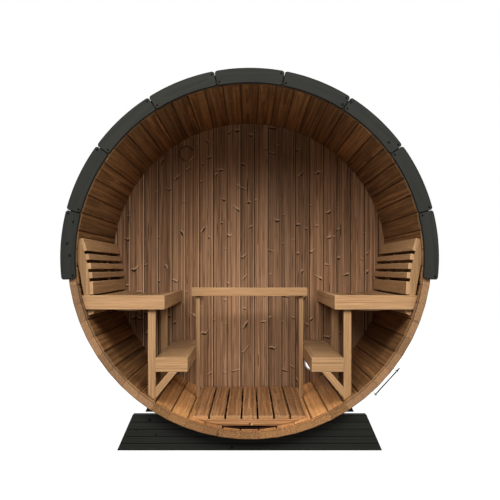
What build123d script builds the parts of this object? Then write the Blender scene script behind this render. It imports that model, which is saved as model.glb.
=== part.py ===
from build123d import *

import os
from math import asin, cos, degrees, hypot, pi, sin, sqrt, tan

# Barrel sauna cabin, open at the front. Millimetres, x to the right, y to the back, z up.
# Everything is drawn about the barrel's axis and lifted to its height above the ground at the end.

# Barrel shell
STAVE_COUNT = 60
INNER_APOTHEM = 950.0
STAVE_THICKNESS = 42.0
BARREL_LENGTH = 1500.0
STAVE_INNER_CHAMFER = 5.0
STAVE_TONGUE_ROOT = 19.0
STAVE_TONGUE_DEPTH = 6.0
JOINT_GAP = 0.3
FIT_GAP = 0.3
CROZE_DEPTH = 10.0
FRONT_CROZE_SETBACK = 8.0
CUT_OVERRUN = 60.0

# Angles from the bottom of the barrel at which the groups of staves end
BOTTOM_ZONE_ANGLE = 33.0
LOWER_ZONE_ANGLE = 87.0
UPPER_ZONE_ANGLE = 147.0

# Back wall and its vents
WALL_THICKNESS = 42.0
WALL_SETBACK = 160.0
WALL_BOARD_PITCH = 96.0
WALL_JOINT_OFFSET = 31.0
WALL_BOARD_CHAMFER = 6.0
TONGUE_WIDTH = 12.0
TONGUE_DEPTH = 8.0
UPPER_VENT_INSET = 89.0
UPPER_VENT_ANGLE = 210.7
LOWER_VENT_INSET = 108.0
LOWER_VENT_ANGLE = 31.5
VENT_HOLE_RADIUS = 50.0
VENT_COVER_LAP = 3.0
VENT_COVER_THICKNESS = 16.0
VENT_RING_LAP = 8.0
VENT_RING_LIP = 2.0
VENT_RING_THICKNESS = 3.0

# Roof covering and the curved trims at its ends
TRIM_COUNT = 9
TRIM_ANGLE = 21.55
TRIM_INNER_LAP = 4.0
TRIM_OVERHANG = 35.0
TRIM_THICKNESS = 28.0
TRIM_CORNER = 9.0
TRIM_GAP = 2.0
ROOF_THICKNESS = 6.0

# Tension bands
BAND_WIDTH = 24.0
BAND_THICKNESS = 2.0
BAND_SETBACK = 42.0
TENSIONER_ANGLE = 47.5
TAB_SPREAD = 82.0
TAB_HEIGHT = 38.0
TAB_THICKNESS = 3.0
BOLT_RADIUS = 4.0
BOLT_STANDOFF = 27.0
BOLT_TAIL = 24.0
BOLT_HOLE_CLEARANCE = 0.5
NUT_ACROSS_FLATS = 13.0
NUT_HEIGHT = 7.0

# Cradles, stacked from planks
CRADLE_LAYERS = 5
CRADLE_LAYERS_UNDER_BARREL = 2
CRADLE_LAYER_HEIGHT = 39.6
CRADLE_HALF_WIDTH = 736.0
CRADLE_TOP_HALF_WIDTH = 649.0
CRADLE_DEPTH = 60.0
CRADLE_SETBACK = 85.0

# Duckboard floor
FLOOR_HEIGHT = 67.0
FLOOR_BOARD_COUNT = 7
FLOOR_BOARD_WIDTH = 80.8
FLOOR_EDGE_BOARD_WIDTH = 86.0
FLOOR_BOARD_GAP = 10.0
FLOOR_BOARD_THICKNESS = 21.0
FLOOR_SETBACK = 115.0
FLOOR_WALL_GAP = 8.0
JOIST_HEIGHT = 36.0
JOIST_THICKNESS = 28.0
JOIST_COUNT = 3

# Heater guard
GUARD_SETBACK = 800.0
GUARD_HALF_LENGTH = 370.0
GUARD_HEIGHT = 700.0
GUARD_RAIL_HEIGHT = 54.0
GUARD_RAIL_THICKNESS = 28.0
GUARD_POST_WIDTH = 25.0
GUARD_POST_DEPTH = 45.0
GUARD_POST_LOWERING = 7.0
GUARD_SIDE_RAIL_LOWERING = 12.0
GUARD_SIDE_RAIL_HEIGHT = 60.0

# Benches
SEAT_HEIGHT = 673.0
BENCH_INNER_EDGE = 470.0
BENCH_SETBACK = 60.0
BENCH_BOARD_HEIGHT = 78.0
BENCH_BOARD_THICKNESS = 28.0
SEAT_SLAT_COUNT = 4
SEAT_SLAT_GAP = 8.0
SEAT_SLAT_THICKNESS = 22.0
SEAT_DISH = 22.0
BEARER_THICKNESS = 28.0
BEARER_END_DEPTH = 52.0
BEARER_MIDDLE_DEPTH = 89.0
BEARER_SEAT_LENGTH = 22.0
CLEAT_FACE_HEIGHT = 47.0
CLEAT_SLOPE = 26.0
POST_SIZE = 42.0
POST_INSET = 53.0
MIDDLE_POST_SETBACK = 760.0

# Steps below the benches
STEP_HEIGHT = 326.0
STEP_INNER_EDGE = 345.0
STEP_BOARD_HEIGHT = 79.0
STEP_BOARD_THICKNESS = 28.0
STEP_TREAD_COUNT = 10
STEP_TREAD_GAP = 8.0
STEP_TREAD_THICKNESS = 21.0
BRACE_THICKNESS = 28.0
BRACE_TOP_SETBACK = 57.0
BRACE_TOP_LENGTH = 47.0
BRACE_FOOT_DROP = 86.0
BRACE_FOOT_LENGTH = 61.0

# Backrests
BACKREST_HEAD_GAP = 4.0
BACKREST_LIFT = 4.0
BACKREST_WIDE_SLAT = 72.0
BACKREST_NARROW_SLAT = 34.0
BACKREST_NARROW_COUNT = 3
BACKREST_FOOT_ANGLE = 2.0
BACKREST_HEAD_ANGLE = 19.0
BACKREST_GAP = 17.0
BACKREST_SLAT_THICKNESS = 20.0
BACKREST_SETBACK = 66.0
BACKREST_WALL_GAP = 8.0
SUPPORT_WIDTH = 32.0
SUPPORT_THICKNESS = 28.0

# Sizes that follow from the ones above
OUTER_APOTHEM = INNER_APOTHEM + STAVE_THICKNESS
AXIS_HEIGHT = OUTER_APOTHEM + CRADLE_LAYERS_UNDER_BARREL * CRADLE_LAYER_HEIGHT
FRONT = -BARREL_LENGTH / 2
REAR = BARREL_LENGTH / 2
WALL_BACK = REAR - WALL_SETBACK
WALL_FACE = WALL_BACK - WALL_THICKNESS
STAVE_PITCH = 360.0 / STAVE_COUNT
TRIM_INNER_RADIUS = INNER_APOTHEM - TRIM_INNER_LAP
TRIM_OUTER_RADIUS = OUTER_APOTHEM + TRIM_OVERHANG
FLOOR_DROP = INNER_APOTHEM - FLOOR_HEIGHT
GUARD_RAIL_DROP = FLOOR_DROP - GUARD_HEIGHT
GUARD_SIDE_RAIL_DROP = GUARD_RAIL_DROP + GUARD_SIDE_RAIL_LOWERING
SEAT_DROP = FLOOR_DROP - SEAT_HEIGHT
STEP_DROP = FLOOR_DROP - STEP_HEIGHT
BOLT_HOLE_HALF = BOLT_RADIUS + BOLT_HOLE_CLEARANCE


def prism(face, y_from, y_to):
    """Solid swept along the barrel from y_from to y_to by a face drawn in x and z."""
    return Pos(0, y_to, 0) * extrude(Plane.XZ * face, amount=y_to - y_from, dir=(0, -1, 0))


def outline(*points):
    """Face bounded by straight lines through the points."""
    return make_face(Polyline(*points, close=True))


def block(x_from, x_to, y_from, y_to, z_from, z_to):
    """Square-edged board between the given limits."""
    corners = (x_from, z_from), (x_to, z_from), (x_to, z_to), (x_from, z_to)
    return prism(outline(*corners), y_from, y_to)


def stave_polygon(apothem):
    """Many-sided outline that runs parallel to the faces of the staves."""
    return RegularPolygon(apothem, STAVE_COUNT, major_radius=False, rotation=-90 + STAVE_PITCH / 2)


def hollow():
    """Clear space inside the barrel, a fit gap short of the staves."""
    return prism(stave_polygon(INNER_APOTHEM - FIT_GAP), FRONT, REAR)


def barrel_body():
    """Space that the barrel takes up, with a fit gap round it, for what carries it."""
    return prism(stave_polygon(OUTER_APOTHEM + FIT_GAP), FRONT - CUT_OVERRUN, REAR + CUT_OVERRUN)


def around(shape, angle):
    """Shape turned about the barrel's axis, from the bottom towards the right."""
    return Rot(0, -angle, 0) * shape


def mirrored(shape):
    """Same piece on the left side of the cabin."""
    return mirror(shape, about=Plane.YZ)


def stave_profile():
    """Section of the lowest stave: a V tongue on its right edge and the matching groove in its left."""
    half = pi / STAVE_COUNT
    face_offset = -JOINT_GAP / 2

    def edge_point(radius, offset, side):
        across = radius * sin(half) + offset * cos(half)
        return side * across, -(radius * cos(half) - offset * sin(half))

    inner = (INNER_APOTHEM + face_offset * sin(half)) / cos(half)
    outer = (OUTER_APOTHEM + face_offset * sin(half)) / cos(half)
    middle = (inner + outer) / 2
    root = STAVE_TONGUE_ROOT / 2
    stations = [(inner + STAVE_INNER_CHAMFER, 0), (middle - root, 0), (middle, STAVE_TONGUE_DEPTH),
                (middle + root, 0), (outer, 0)]

    def edge(side):
        inner_corner = edge_point(inner, face_offset, side)[0] - side * STAVE_INNER_CHAMFER
        shaped = [edge_point(radius, face_offset + side * depth, side) for radius, depth in stations]
        return [(inner_corner, -INNER_APOTHEM), *shaped]

    return outline(*edge(1), *reversed(edge(-1)))


def croze(y_from, y_to):
    """Groove across the inside of the lowest stave that takes the edge of an end wall."""
    half_width = INNER_APOTHEM * tan(pi / STAVE_COUNT) + CUT_OVERRUN
    return block(-half_width, half_width, y_from, y_to,
                 -INNER_APOTHEM - CROZE_DEPTH, -INNER_APOTHEM + CUT_OVERRUN)


def stave():
    """Lowest stave, grooved for the end walls near both of its ends."""
    front_croze = FRONT + FRONT_CROZE_SETBACK
    return (prism(stave_profile(), FRONT, REAR)
            - croze(front_croze, front_croze + WALL_THICKNESS + 2 * FIT_GAP)
            - croze(WALL_FACE - FIT_GAP, WALL_BACK + FIT_GAP))


def stave_zones():
    """Staves of the whole shell, grouped by where they lie round the barrel."""
    one = stave()
    zones = {}
    for index in range(STAVE_COUNT):
        angle = index * STAVE_PITCH
        angle -= 360 if angle > 180 else 0
        side = "right" if angle > 0 else "left"
        if abs(angle) < BOTTOM_ZONE_ANGLE:
            zone = "staves_bottom"
        elif abs(angle) < LOWER_ZONE_ANGLE:
            zone = "staves_lower_" + side
        elif abs(angle) < UPPER_ZONE_ANGLE:
            zone = "staves_upper_" + side
        else:
            zone = "staves_top"
        zones.setdefault(zone, []).append(around(one, angle))
    return zones


def vent_place(inset, angle):
    """Middle of a vent on the inner face of the back wall, by its angle from the bottom."""
    return around(Pos(0, WALL_FACE, inset - INNER_APOTHEM), angle).position


UPPER_VENT = vent_place(UPPER_VENT_INSET, UPPER_VENT_ANGLE)
LOWER_VENT = vent_place(LOWER_VENT_INSET, LOWER_VENT_ANGLE)


def vent_hole(place):
    """Round hole through the back wall."""
    circle = Pos(place.X, place.Z) * Circle(VENT_HOLE_RADIUS)
    return prism(circle, WALL_FACE - CUT_OVERRUN, WALL_BACK + CUT_OVERRUN)


def wall_board(left, right):
    """Upright board with a tongue on its right edge, a groove in its left and eased edges inside."""
    low, high = left + JOINT_GAP / 2, right - JOINT_GAP / 2
    middle = (WALL_FACE + WALL_BACK) / 2
    ease = WALL_BOARD_CHAMFER
    tongue, groove = TONGUE_WIDTH / 2, TONGUE_WIDTH / 2 + JOINT_GAP
    deep = low + TONGUE_DEPTH + JOINT_GAP
    section = outline(
        (low + ease, WALL_FACE), (high - ease, WALL_FACE), (high, WALL_FACE + ease),
        (high, middle - tongue), (high + TONGUE_DEPTH, middle - tongue),
        (high + TONGUE_DEPTH, middle + tongue), (high, middle + tongue),
        (high, WALL_BACK), (low, WALL_BACK), (low, middle + groove), (deep, middle + groove),
        (deep, middle - groove), (low, middle - groove), (low, WALL_FACE + ease))
    return Pos(0, 0, -OUTER_APOTHEM) * extrude(section, amount=2 * OUTER_APOTHEM)


def back_wall():
    """Boards of the back wall, cut to a disc that sits in the croze."""
    disc_radius = INNER_APOTHEM + CROZE_DEPTH - FIT_GAP
    disc = prism(stave_polygon(disc_radius), WALL_FACE - CUT_OVERRUN, WALL_BACK + CUT_OVERRUN)
    vents = vent_hole(UPPER_VENT) + vent_hole(LOWER_VENT)
    first = -int((disc_radius + WALL_JOINT_OFFSET) / WALL_BOARD_PITCH) - 1
    last = int((disc_radius - WALL_JOINT_OFFSET) / WALL_BOARD_PITCH)
    boards = []
    for index in range(first, last + 1):
        left = WALL_JOINT_OFFSET + index * WALL_BOARD_PITCH
        boards += ((wall_board(left, left + WALL_BOARD_PITCH) & disc) - vents).solids()
    return boards


def upper_vent_cover():
    """Wooden disc that closes the upper vent from inside."""
    circle = Pos(UPPER_VENT.X, UPPER_VENT.Z) * Circle(VENT_HOLE_RADIUS + VENT_COVER_LAP)
    return prism(circle, WALL_FACE - VENT_COVER_THICKNESS, WALL_FACE)


def lower_vent_ring():
    """Flat metal ring round the lower vent on the inner face of the wall."""
    ring = Circle(VENT_HOLE_RADIUS + VENT_RING_LAP) - Circle(VENT_HOLE_RADIUS - VENT_RING_LIP)
    return prism(Pos(LOWER_VENT.X, LOWER_VENT.Z) * ring, WALL_FACE - VENT_RING_THICKNESS, WALL_FACE)


def roof_trim(y_from, y_to):
    """Curved trim boards round the top of the barrel's end, with their corners taken off."""
    half = TRIM_ANGLE / 2 - degrees(TRIM_GAP / 2 / TRIM_OUTER_RADIUS)
    radii = TRIM_INNER_RADIUS, TRIM_OUTER_RADIUS
    arcs = [CenterArc((0, 0), radius, 90 - half, 2 * half) for radius in radii]
    ends = [Line(arcs[0] @ end, arcs[1] @ end) for end in (0, 1)]
    face = make_face(Curve() + arcs + ends)
    board = prism(chamfer(face.vertices(), TRIM_CORNER), y_from, y_to)
    middle = (TRIM_COUNT - 1) / 2
    return [around(board, (index - middle) * TRIM_ANGLE) for index in range(TRIM_COUNT)]


def roof_covering():
    """Thin covering over the upper staves and the bands, down to the ends of the trims."""
    bottom = OUTER_APOTHEM + BAND_THICKNESS + 2 * FIT_GAP
    eave = 90 - TRIM_COUNT * TRIM_ANGLE / 2
    reach = OUTER_APOTHEM + CUT_OVERRUN
    drop = reach * tan(eave * pi / 180)
    above = outline((0, 0), (reach, drop), (reach, reach), (-reach, reach), (-reach, drop))
    ring = stave_polygon(bottom + ROOF_THICKNESS) - stave_polygon(bottom)
    return prism(ring & above, FRONT, REAR)


def bolt_line(shape):
    """Shape drawn along x below the barrel's bottom, moved to the tensioner."""
    return around(Pos(0, 0, -OUTER_APOTHEM - BOLT_STANDOFF) * shape, TENSIONER_ANGLE)


def tension_band(y_middle):
    """Flat band round the staves, open at the tensioner, where its ends turn out as tabs with holes."""
    inside = OUTER_APOTHEM + FIT_GAP
    y_from, y_to = y_middle - BAND_WIDTH / 2, y_middle + BAND_WIDTH / 2
    ring = prism(stave_polygon(inside + BAND_THICKNESS) - stave_polygon(inside), y_from, y_to)
    seat = sqrt((inside + BAND_THICKNESS / 2) ** 2 - TAB_SPREAD ** 2)
    opening = block(-TAB_SPREAD, TAB_SPREAD, y_from, y_to, -inside - TAB_HEIGHT, -seat + CUT_OVERRUN)
    band = ring - around(opening, TENSIONER_ANGLE)
    hole = Box(2 * TAB_SPREAD + CUT_OVERRUN, 2 * BOLT_HOLE_HALF, 2 * BOLT_HOLE_HALF)
    for side in (-1, 1):
        near, far = sorted((side * TAB_SPREAD, side * (TAB_SPREAD + TAB_THICKNESS)))
        band += around(block(near, far, y_from, y_to, -OUTER_APOTHEM - TAB_HEIGHT, -seat), TENSIONER_ANGLE)
    return band - bolt_line(Pos(0, y_middle, 0) * hole)


def band_bolt(y_middle):
    """Tension bolt with its head outside the lower tab and a nut outside the upper one."""
    start = TAB_SPREAD + TAB_THICKNESS
    shank = extrude(Plane.YZ * Circle(BOLT_RADIUS), amount=2 * start + BOLT_TAIL)
    hexagon = RegularPolygon(NUT_ACROSS_FLATS / 2, 6, major_radius=False)
    nut = extrude(Plane.YZ * hexagon, amount=NUT_HEIGHT)
    bolt = Pos(-start, 0, 0) * shank + Pos(-start - NUT_HEIGHT, 0, 0) * nut + Pos(start, 0, 0) * nut
    return bolt_line(Pos(0, y_middle, 0) * bolt)


def cradle(y_from, y_to):
    """Stacked planks with sloping ends and a seat hollowed to the staves."""
    body = barrel_body()
    planks = []
    slope = (CRADLE_HALF_WIDTH - CRADLE_TOP_HALF_WIDTH) / (CRADLE_LAYERS * CRADLE_LAYER_HEIGHT)
    for layer in range(CRADLE_LAYERS):
        low, high = layer * CRADLE_LAYER_HEIGHT, (layer + 1) * CRADLE_LAYER_HEIGHT - JOINT_GAP
        wide, narrow = CRADLE_HALF_WIDTH - slope * low, CRADLE_HALF_WIDTH - slope * high
        section = outline((-wide, low - AXIS_HEIGHT), (wide, low - AXIS_HEIGHT),
                          (narrow, high - AXIS_HEIGHT), (-narrow, high - AXIS_HEIGHT))
        planks += (prism(section, y_from, y_to) - body).solids()
    return planks


FLOOR_FRONT = FRONT + FLOOR_SETBACK
FLOOR_BACK = WALL_FACE - FLOOR_WALL_GAP
FLOOR_UNDERSIDE = FLOOR_DROP + FLOOR_BOARD_THICKNESS
FLOOR_PITCH = FLOOR_BOARD_WIDTH + FLOOR_BOARD_GAP
FLOOR_HALF_WIDTH = (FLOOR_BOARD_COUNT - 2) * FLOOR_PITCH / 2 + FLOOR_BOARD_GAP / 2 + FLOOR_EDGE_BOARD_WIDTH


def floor_boards(space):
    """Duckboard slats, the outer two cut to the curve of the staves."""
    boards = []
    for index in range(FLOOR_BOARD_COUNT):
        left = (index - FLOOR_BOARD_COUNT / 2) * FLOOR_PITCH + FLOOR_BOARD_GAP / 2
        right = left + FLOOR_BOARD_WIDTH
        if index == 0:
            left = -FLOOR_HALF_WIDTH
        elif index == FLOOR_BOARD_COUNT - 1:
            right = FLOOR_HALF_WIDTH
        boards.append(block(left, right, FLOOR_FRONT, FLOOR_BACK, -FLOOR_UNDERSIDE, -FLOOR_DROP) & space)
    return boards


def floor_joists(space):
    """Cross joists under the duckboard, their ends cut to the curve of the staves."""
    step = (FLOOR_BACK - FLOOR_FRONT - JOIST_THICKNESS) / (JOIST_COUNT - 1)
    starts = [FLOOR_FRONT + index * step for index in range(JOIST_COUNT)]
    return [block(-FLOOR_HALF_WIDTH, FLOOR_HALF_WIDTH, y, y + JOIST_THICKNESS,
                  -FLOOR_UNDERSIDE - JOIST_HEIGHT, -FLOOR_UNDERSIDE) & space for y in starts]


GUARD_FRONT = FRONT + GUARD_SETBACK
GUARD_POST_FRONT = GUARD_FRONT + GUARD_RAIL_THICKNESS
GUARD_POST_BACK = GUARD_POST_FRONT + GUARD_POST_DEPTH
GUARD_POST_OUTER = STEP_INNER_EDGE - FIT_GAP


def guard_rail():
    """Front rail of the heater guard."""
    return block(-GUARD_HALF_LENGTH, GUARD_HALF_LENGTH, GUARD_FRONT, GUARD_POST_FRONT,
                 -GUARD_RAIL_DROP - GUARD_RAIL_HEIGHT, -GUARD_RAIL_DROP)


def guard_post(space):
    """Right post of the heater guard, its foot cut to the curve of the staves."""
    return block(GUARD_POST_OUTER - GUARD_POST_WIDTH, GUARD_POST_OUTER, GUARD_POST_FRONT, GUARD_POST_BACK,
                 -INNER_APOTHEM, -GUARD_RAIL_DROP - GUARD_POST_LOWERING) & space


def guard_side_rail():
    """Right side rail of the heater guard, from the post to the back wall."""
    return block(GUARD_POST_OUTER - GUARD_POST_WIDTH, GUARD_POST_OUTER, GUARD_POST_BACK, WALL_FACE,
                 -GUARD_SIDE_RAIL_DROP - GUARD_SIDE_RAIL_HEIGHT, -GUARD_SIDE_RAIL_DROP)


BACKREST_HEIGHTS = BACKREST_WIDE_SLAT, *(BACKREST_NARROW_COUNT * [BACKREST_NARROW_SLAT]), BACKREST_WIDE_SLAT
BACKREST_TURN = (BACKREST_HEAD_ANGLE - BACKREST_FOOT_ANGLE) / (len(BACKREST_HEIGHTS) - 1)
BACKREST_ANGLES = [BACKREST_FOOT_ANGLE + index * BACKREST_TURN for index in range(len(BACKREST_HEIGHTS))]
BACKREST_LEANS = [angle * pi / 180 for angle in BACKREST_ANGLES]


def backrest_line():
    """Ends of the slats' back faces from the seat up, in pairs, the topmost just clear of the staves."""
    x, z = 0.0, -SEAT_DROP + BACKREST_LIFT
    pairs = []
    for index, (height, lean) in enumerate(zip(BACKREST_HEIGHTS, BACKREST_LEANS)):
        if index:
            between = (BACKREST_LEANS[index - 1] + lean) / 2
            x, z = x + BACKREST_GAP * sin(between), z + BACKREST_GAP * cos(between)
        foot = x, z
        x, z = x + height * sin(lean), z + height * cos(lean)
        pairs.append((foot, (x, z)))
    reach = sqrt((INNER_APOTHEM - BACKREST_HEAD_GAP) ** 2 - z ** 2) - x
    return [tuple((across + reach, up) for across, up in pair) for pair in pairs]


BACKREST_LINE = backrest_line()
BACKREST_FOOT = BACKREST_LINE[0][0][0]
BENCH_FRONT = FRONT + BENCH_SETBACK
BENCH_BACK = BENCH_FRONT + BENCH_BOARD_THICKNESS
BENCH_UNDERSIDE = SEAT_DROP + BENCH_BOARD_HEIGHT
SEAT_INNER = BENCH_INNER_EDGE + BENCH_BOARD_THICKNESS
SEAT_OUTER = BACKREST_FOOT - BACKREST_SLAT_THICKNESS
SEAT_MIDDLE = (SEAT_INNER + SEAT_OUTER) / 2
SEAT_RADIUS = ((SEAT_OUTER - SEAT_INNER) ** 2 / 4 + SEAT_DISH ** 2) / (2 * SEAT_DISH)
SEAT_CENTRE = SEAT_RADIUS - SEAT_DISH - SEAT_DROP
SEAT_PITCH = 2 * asin((SEAT_OUTER - SEAT_INNER - SEAT_SLAT_GAP) / 2 / SEAT_RADIUS) / SEAT_SLAT_COUNT
SEAT_SLAT_WIDTH = SEAT_PITCH * SEAT_RADIUS - SEAT_SLAT_GAP
POST_INNER = BENCH_INNER_EDGE + POST_INSET
POST_OUTER = POST_INNER + POST_SIZE
POST_FRONTS = (BENCH_BACK, FRONT + MIDDLE_POST_SETBACK)
POST_TOP = SEAT_DROP + SEAT_DISH + SEAT_SLAT_THICKNESS + FIT_GAP
BEARER_FRONTS = (POST_FRONTS[0] + POST_SIZE, POST_FRONTS[1] + POST_SIZE, WALL_FACE - BEARER_THICKNESS)


def bench_front_board(space):
    """Board across the front end of the right bench, cut to the curve of the staves."""
    return block(BENCH_INNER_EDGE, INNER_APOTHEM, BENCH_FRONT, BENCH_BACK,
                 -BENCH_UNDERSIDE, -SEAT_DROP) & space


def bench_rail():
    """Long rail along the inner edge of the right bench."""
    return block(BENCH_INNER_EDGE, SEAT_INNER, BENCH_BACK, WALL_FACE, -BENCH_UNDERSIDE, -SEAT_DROP)


def seat_slats():
    """Seat slats laid side by side on a shallow dished curve."""
    half = SEAT_SLAT_WIDTH / 2
    slat = block(-half, half, BENCH_BACK, WALL_FACE, -SEAT_RADIUS - SEAT_SLAT_THICKNESS, -SEAT_RADIUS)
    turns = [degrees(SEAT_PITCH * (index - (SEAT_SLAT_COUNT - 1) / 2)) for index in range(SEAT_SLAT_COUNT)]
    return [Pos(SEAT_MIDDLE, 0, SEAT_CENTRE) * around(slat, turn) for turn in turns]


def bench_bearer(y_front):
    """Cross bearer with a hollowed top under the slats and a bellied lower edge."""
    top = hypot(SEAT_RADIUS + SEAT_SLAT_THICKNESS, SEAT_SLAT_WIDTH / 2) + FIT_GAP
    end = SEAT_OUTER + BEARER_SEAT_LENGTH

    def top_point(x):
        return x, SEAT_CENTRE - sqrt(top ** 2 - (x - SEAT_MIDDLE) ** 2)

    bottom = -SEAT_DROP - BEARER_END_DEPTH
    belly = SEAT_MIDDLE, -SEAT_DROP - BEARER_MIDDLE_DEPTH
    edges = [ThreePointArc(top_point(SEAT_INNER), top_point(SEAT_MIDDLE), top_point(end)),
             Line(top_point(end), (end, bottom)), Line((end, bottom), (SEAT_OUTER, bottom)),
             ThreePointArc((SEAT_OUTER, bottom), belly, (SEAT_INNER, bottom)),
             Line((SEAT_INNER, bottom), top_point(SEAT_INNER))]
    return prism(make_face(Curve() + edges), y_front, y_front + BEARER_THICKNESS)


def bench_cleat(space):
    """Cleat along the staves that carries the outer ends of the bearers."""
    top = -SEAT_DROP - BEARER_END_DEPTH - FIT_GAP
    reach = OUTER_APOTHEM - SEAT_OUTER
    low = top - CLEAT_FACE_HEIGHT
    section = outline((SEAT_OUTER, top), (OUTER_APOTHEM, top),
                      (OUTER_APOTHEM, low - reach * tan(CLEAT_SLOPE * pi / 180)), (SEAT_OUTER, low))
    return prism(section, BENCH_BACK, WALL_FACE) & space


def bench_post(y_front, space):
    """Square post under the right bench, its foot cut to the curve of the staves."""
    return block(POST_INNER, POST_OUTER, y_front, y_front + POST_SIZE, -INNER_APOTHEM, -POST_TOP) & space


STEP_FRONT = BENCH_BACK
STEP_BACK = STEP_FRONT + STEP_BOARD_THICKNESS
STEP_OUTER = POST_INNER - FIT_GAP
STEP_UNDERSIDE = STEP_DROP + STEP_BOARD_HEIGHT
TREAD_INNER = STEP_INNER_EDGE + STEP_BOARD_THICKNESS
TREAD_OUTER = STEP_OUTER - STEP_BOARD_THICKNESS
STEP_BEARER_FRONTS = (POST_FRONTS[1], WALL_FACE - BRACE_THICKNESS)


def step_front_board():
    """Board across the front end of the right step."""
    return block(STEP_INNER_EDGE, STEP_OUTER, STEP_FRONT, STEP_BACK, -STEP_UNDERSIDE, -STEP_DROP)


def step_rails():
    """Long rails along both edges of the right step."""
    spans = (STEP_INNER_EDGE, TREAD_INNER), (TREAD_OUTER, STEP_OUTER)
    return [block(*span, STEP_BACK, WALL_FACE, -STEP_UNDERSIDE, -STEP_DROP) for span in spans]


def step_treads():
    """Short tread boards laid across the right step between its rails."""
    pitch = (WALL_FACE - STEP_BACK) / STEP_TREAD_COUNT
    starts = [STEP_BACK + index * pitch + FIT_GAP for index in range(STEP_TREAD_COUNT)]
    return [block(TREAD_INNER + FIT_GAP, TREAD_OUTER - FIT_GAP, y, y + pitch - STEP_TREAD_GAP,
                  -STEP_DROP - STEP_TREAD_THICKNESS, -STEP_DROP) for y in starts]


def step_bearers():
    """Cross bearers under the treads of the right step, at the middle post and at the wall."""
    return [block(TREAD_INNER, TREAD_OUTER, y, y + BRACE_THICKNESS,
                  -STEP_UNDERSIDE, -STEP_DROP - STEP_TREAD_THICKNESS - FIT_GAP) for y in STEP_BEARER_FRONTS]


def step_braces():
    """Slanting braces from the posts to the underside of the right step."""
    near, far = STEP_INNER_EDGE + BRACE_TOP_SETBACK, STEP_INNER_EDGE + BRACE_TOP_SETBACK + BRACE_TOP_LENGTH
    high = STEP_UNDERSIDE + BRACE_FOOT_DROP
    section = outline((near, -STEP_UNDERSIDE), (far, -STEP_UNDERSIDE),
                      (POST_INNER, -high), (POST_INNER, -high - BRACE_FOOT_LENGTH))
    return [prism(section, y, y + BRACE_THICKNESS) for y in POST_FRONTS]


BACKREST_FRONT = FRONT + BACKREST_SETBACK
BACKREST_BACK = WALL_FACE - BACKREST_WALL_GAP
BACKREST_MIDDLE = FRONT + MIDDLE_POST_SETBACK
SUPPORT_FRONTS = (BACKREST_FRONT, BACKREST_MIDDLE, BACKREST_BACK - SUPPORT_THICKNESS)


def backrest_slats():
    """Backrest slats of the right bench, each leaning a little further out than the one below."""
    slats = []
    for (foot, head), lean in zip(BACKREST_LINE, BACKREST_LEANS):
        inward = -BACKREST_SLAT_THICKNESS * cos(lean), BACKREST_SLAT_THICKNESS * sin(lean)
        front = [(x + inward[0], z + inward[1]) for x, z in (head, foot)]
        slats.append(prism(outline(foot, head, *front), BACKREST_FRONT, BACKREST_BACK))
    return slats


def backrest_supports(space):
    """Shaped supports between the backrest slats and the staves."""
    line = [point for pair in BACKREST_LINE for point in pair]
    front = [(x + FIT_GAP, z) for x, z in [(BACKREST_FOOT, -SEAT_DROP + FIT_GAP)] + line]
    back = [(front[-1][0] + SUPPORT_WIDTH, front[-1][1]), (front[0][0] + SUPPORT_WIDTH, front[0][1])]
    section = outline(*front, *back)
    return [prism(section, y, y + SUPPORT_THICKNESS) & space for y in SUPPORT_FRONTS]


def cabin_pieces():
    """All nodes of the sauna by name, each a list of solids about the barrel's axis."""
    space = hollow()
    band_rows = FRONT + BAND_SETBACK, REAR - BAND_SETBACK
    cradle_front = FRONT + CRADLE_SETBACK
    pieces = stave_zones()
    pieces["back_wall"] = back_wall()
    pieces["upper_vent_cover"] = [upper_vent_cover()]
    pieces["lower_vent_ring"] = [lower_vent_ring()]
    pieces["front_roof_trim"] = roof_trim(FRONT - TRIM_THICKNESS, FRONT)
    pieces["rear_roof_trim"] = roof_trim(REAR, REAR + TRIM_THICKNESS)
    pieces["roof_covering"] = [roof_covering()]
    pieces["tension_bands"] = [tension_band(y) for y in band_rows]
    pieces["band_bolts"] = [band_bolt(y) for y in band_rows]
    pieces["front_cradle"] = cradle(cradle_front, cradle_front + CRADLE_DEPTH)
    pieces["rear_cradle"] = cradle(-cradle_front - CRADLE_DEPTH, -cradle_front)
    pieces["floor_boards"] = floor_boards(space)
    pieces["floor_joists"] = floor_joists(space)
    pieces["heater_guard_rail"] = [guard_rail()]
    right_guard = {"heater_guard_posts": guard_post(space), "heater_guard_side_rails": guard_side_rail()}
    for name, piece in right_guard.items():
        pieces[name] = [piece, mirrored(piece)]
    right_side = {
        "bench_front_board": [bench_front_board(space)],
        "bench_rail": [bench_rail()],
        "seat_slats": seat_slats(),
        "bench_bearers": [bench_bearer(y) for y in BEARER_FRONTS],
        "bench_posts": [bench_post(y, space) for y in POST_FRONTS],
        "step_front_board": [step_front_board()],
        "step_rails": step_rails(),
        "step_treads": step_treads(),
        "step_braces": step_braces(),
        "backrest_slats": backrest_slats(),
        "backrest_supports": backrest_supports(space),
    }
    for name, solids in right_side.items():
        pieces["right_" + name] = solids
        pieces["left_" + name] = [mirrored(solid) for solid in solids]
    for name, solids in {"bench_cleats": [bench_cleat(space)], "step_bearers": step_bearers()}.items():
        pieces[name] = solids + [mirrored(solid) for solid in solids]
    return pieces


def main():
    """Lift every node to its height above the ground and write it out."""
    os.makedirs("parts", exist_ok=True)
    for name, pieces in cabin_pieces().items():
        solids = [solid for piece in pieces for solid in (Pos(0, 0, AXIS_HEIGHT) * piece).solids()]
        export_step(solids[0] if len(solids) == 1 else Compound(solids), "parts/" + name + ".step")


main()
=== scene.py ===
"""Looks of a barrel sauna with an open front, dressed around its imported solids."""

import logging
import math
import random
from collections.abc import Callable, Iterable, Sequence
from dataclasses import dataclass, field
from enum import Enum

import bmesh
import bpy
from mathutils import Matrix, Vector


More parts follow.
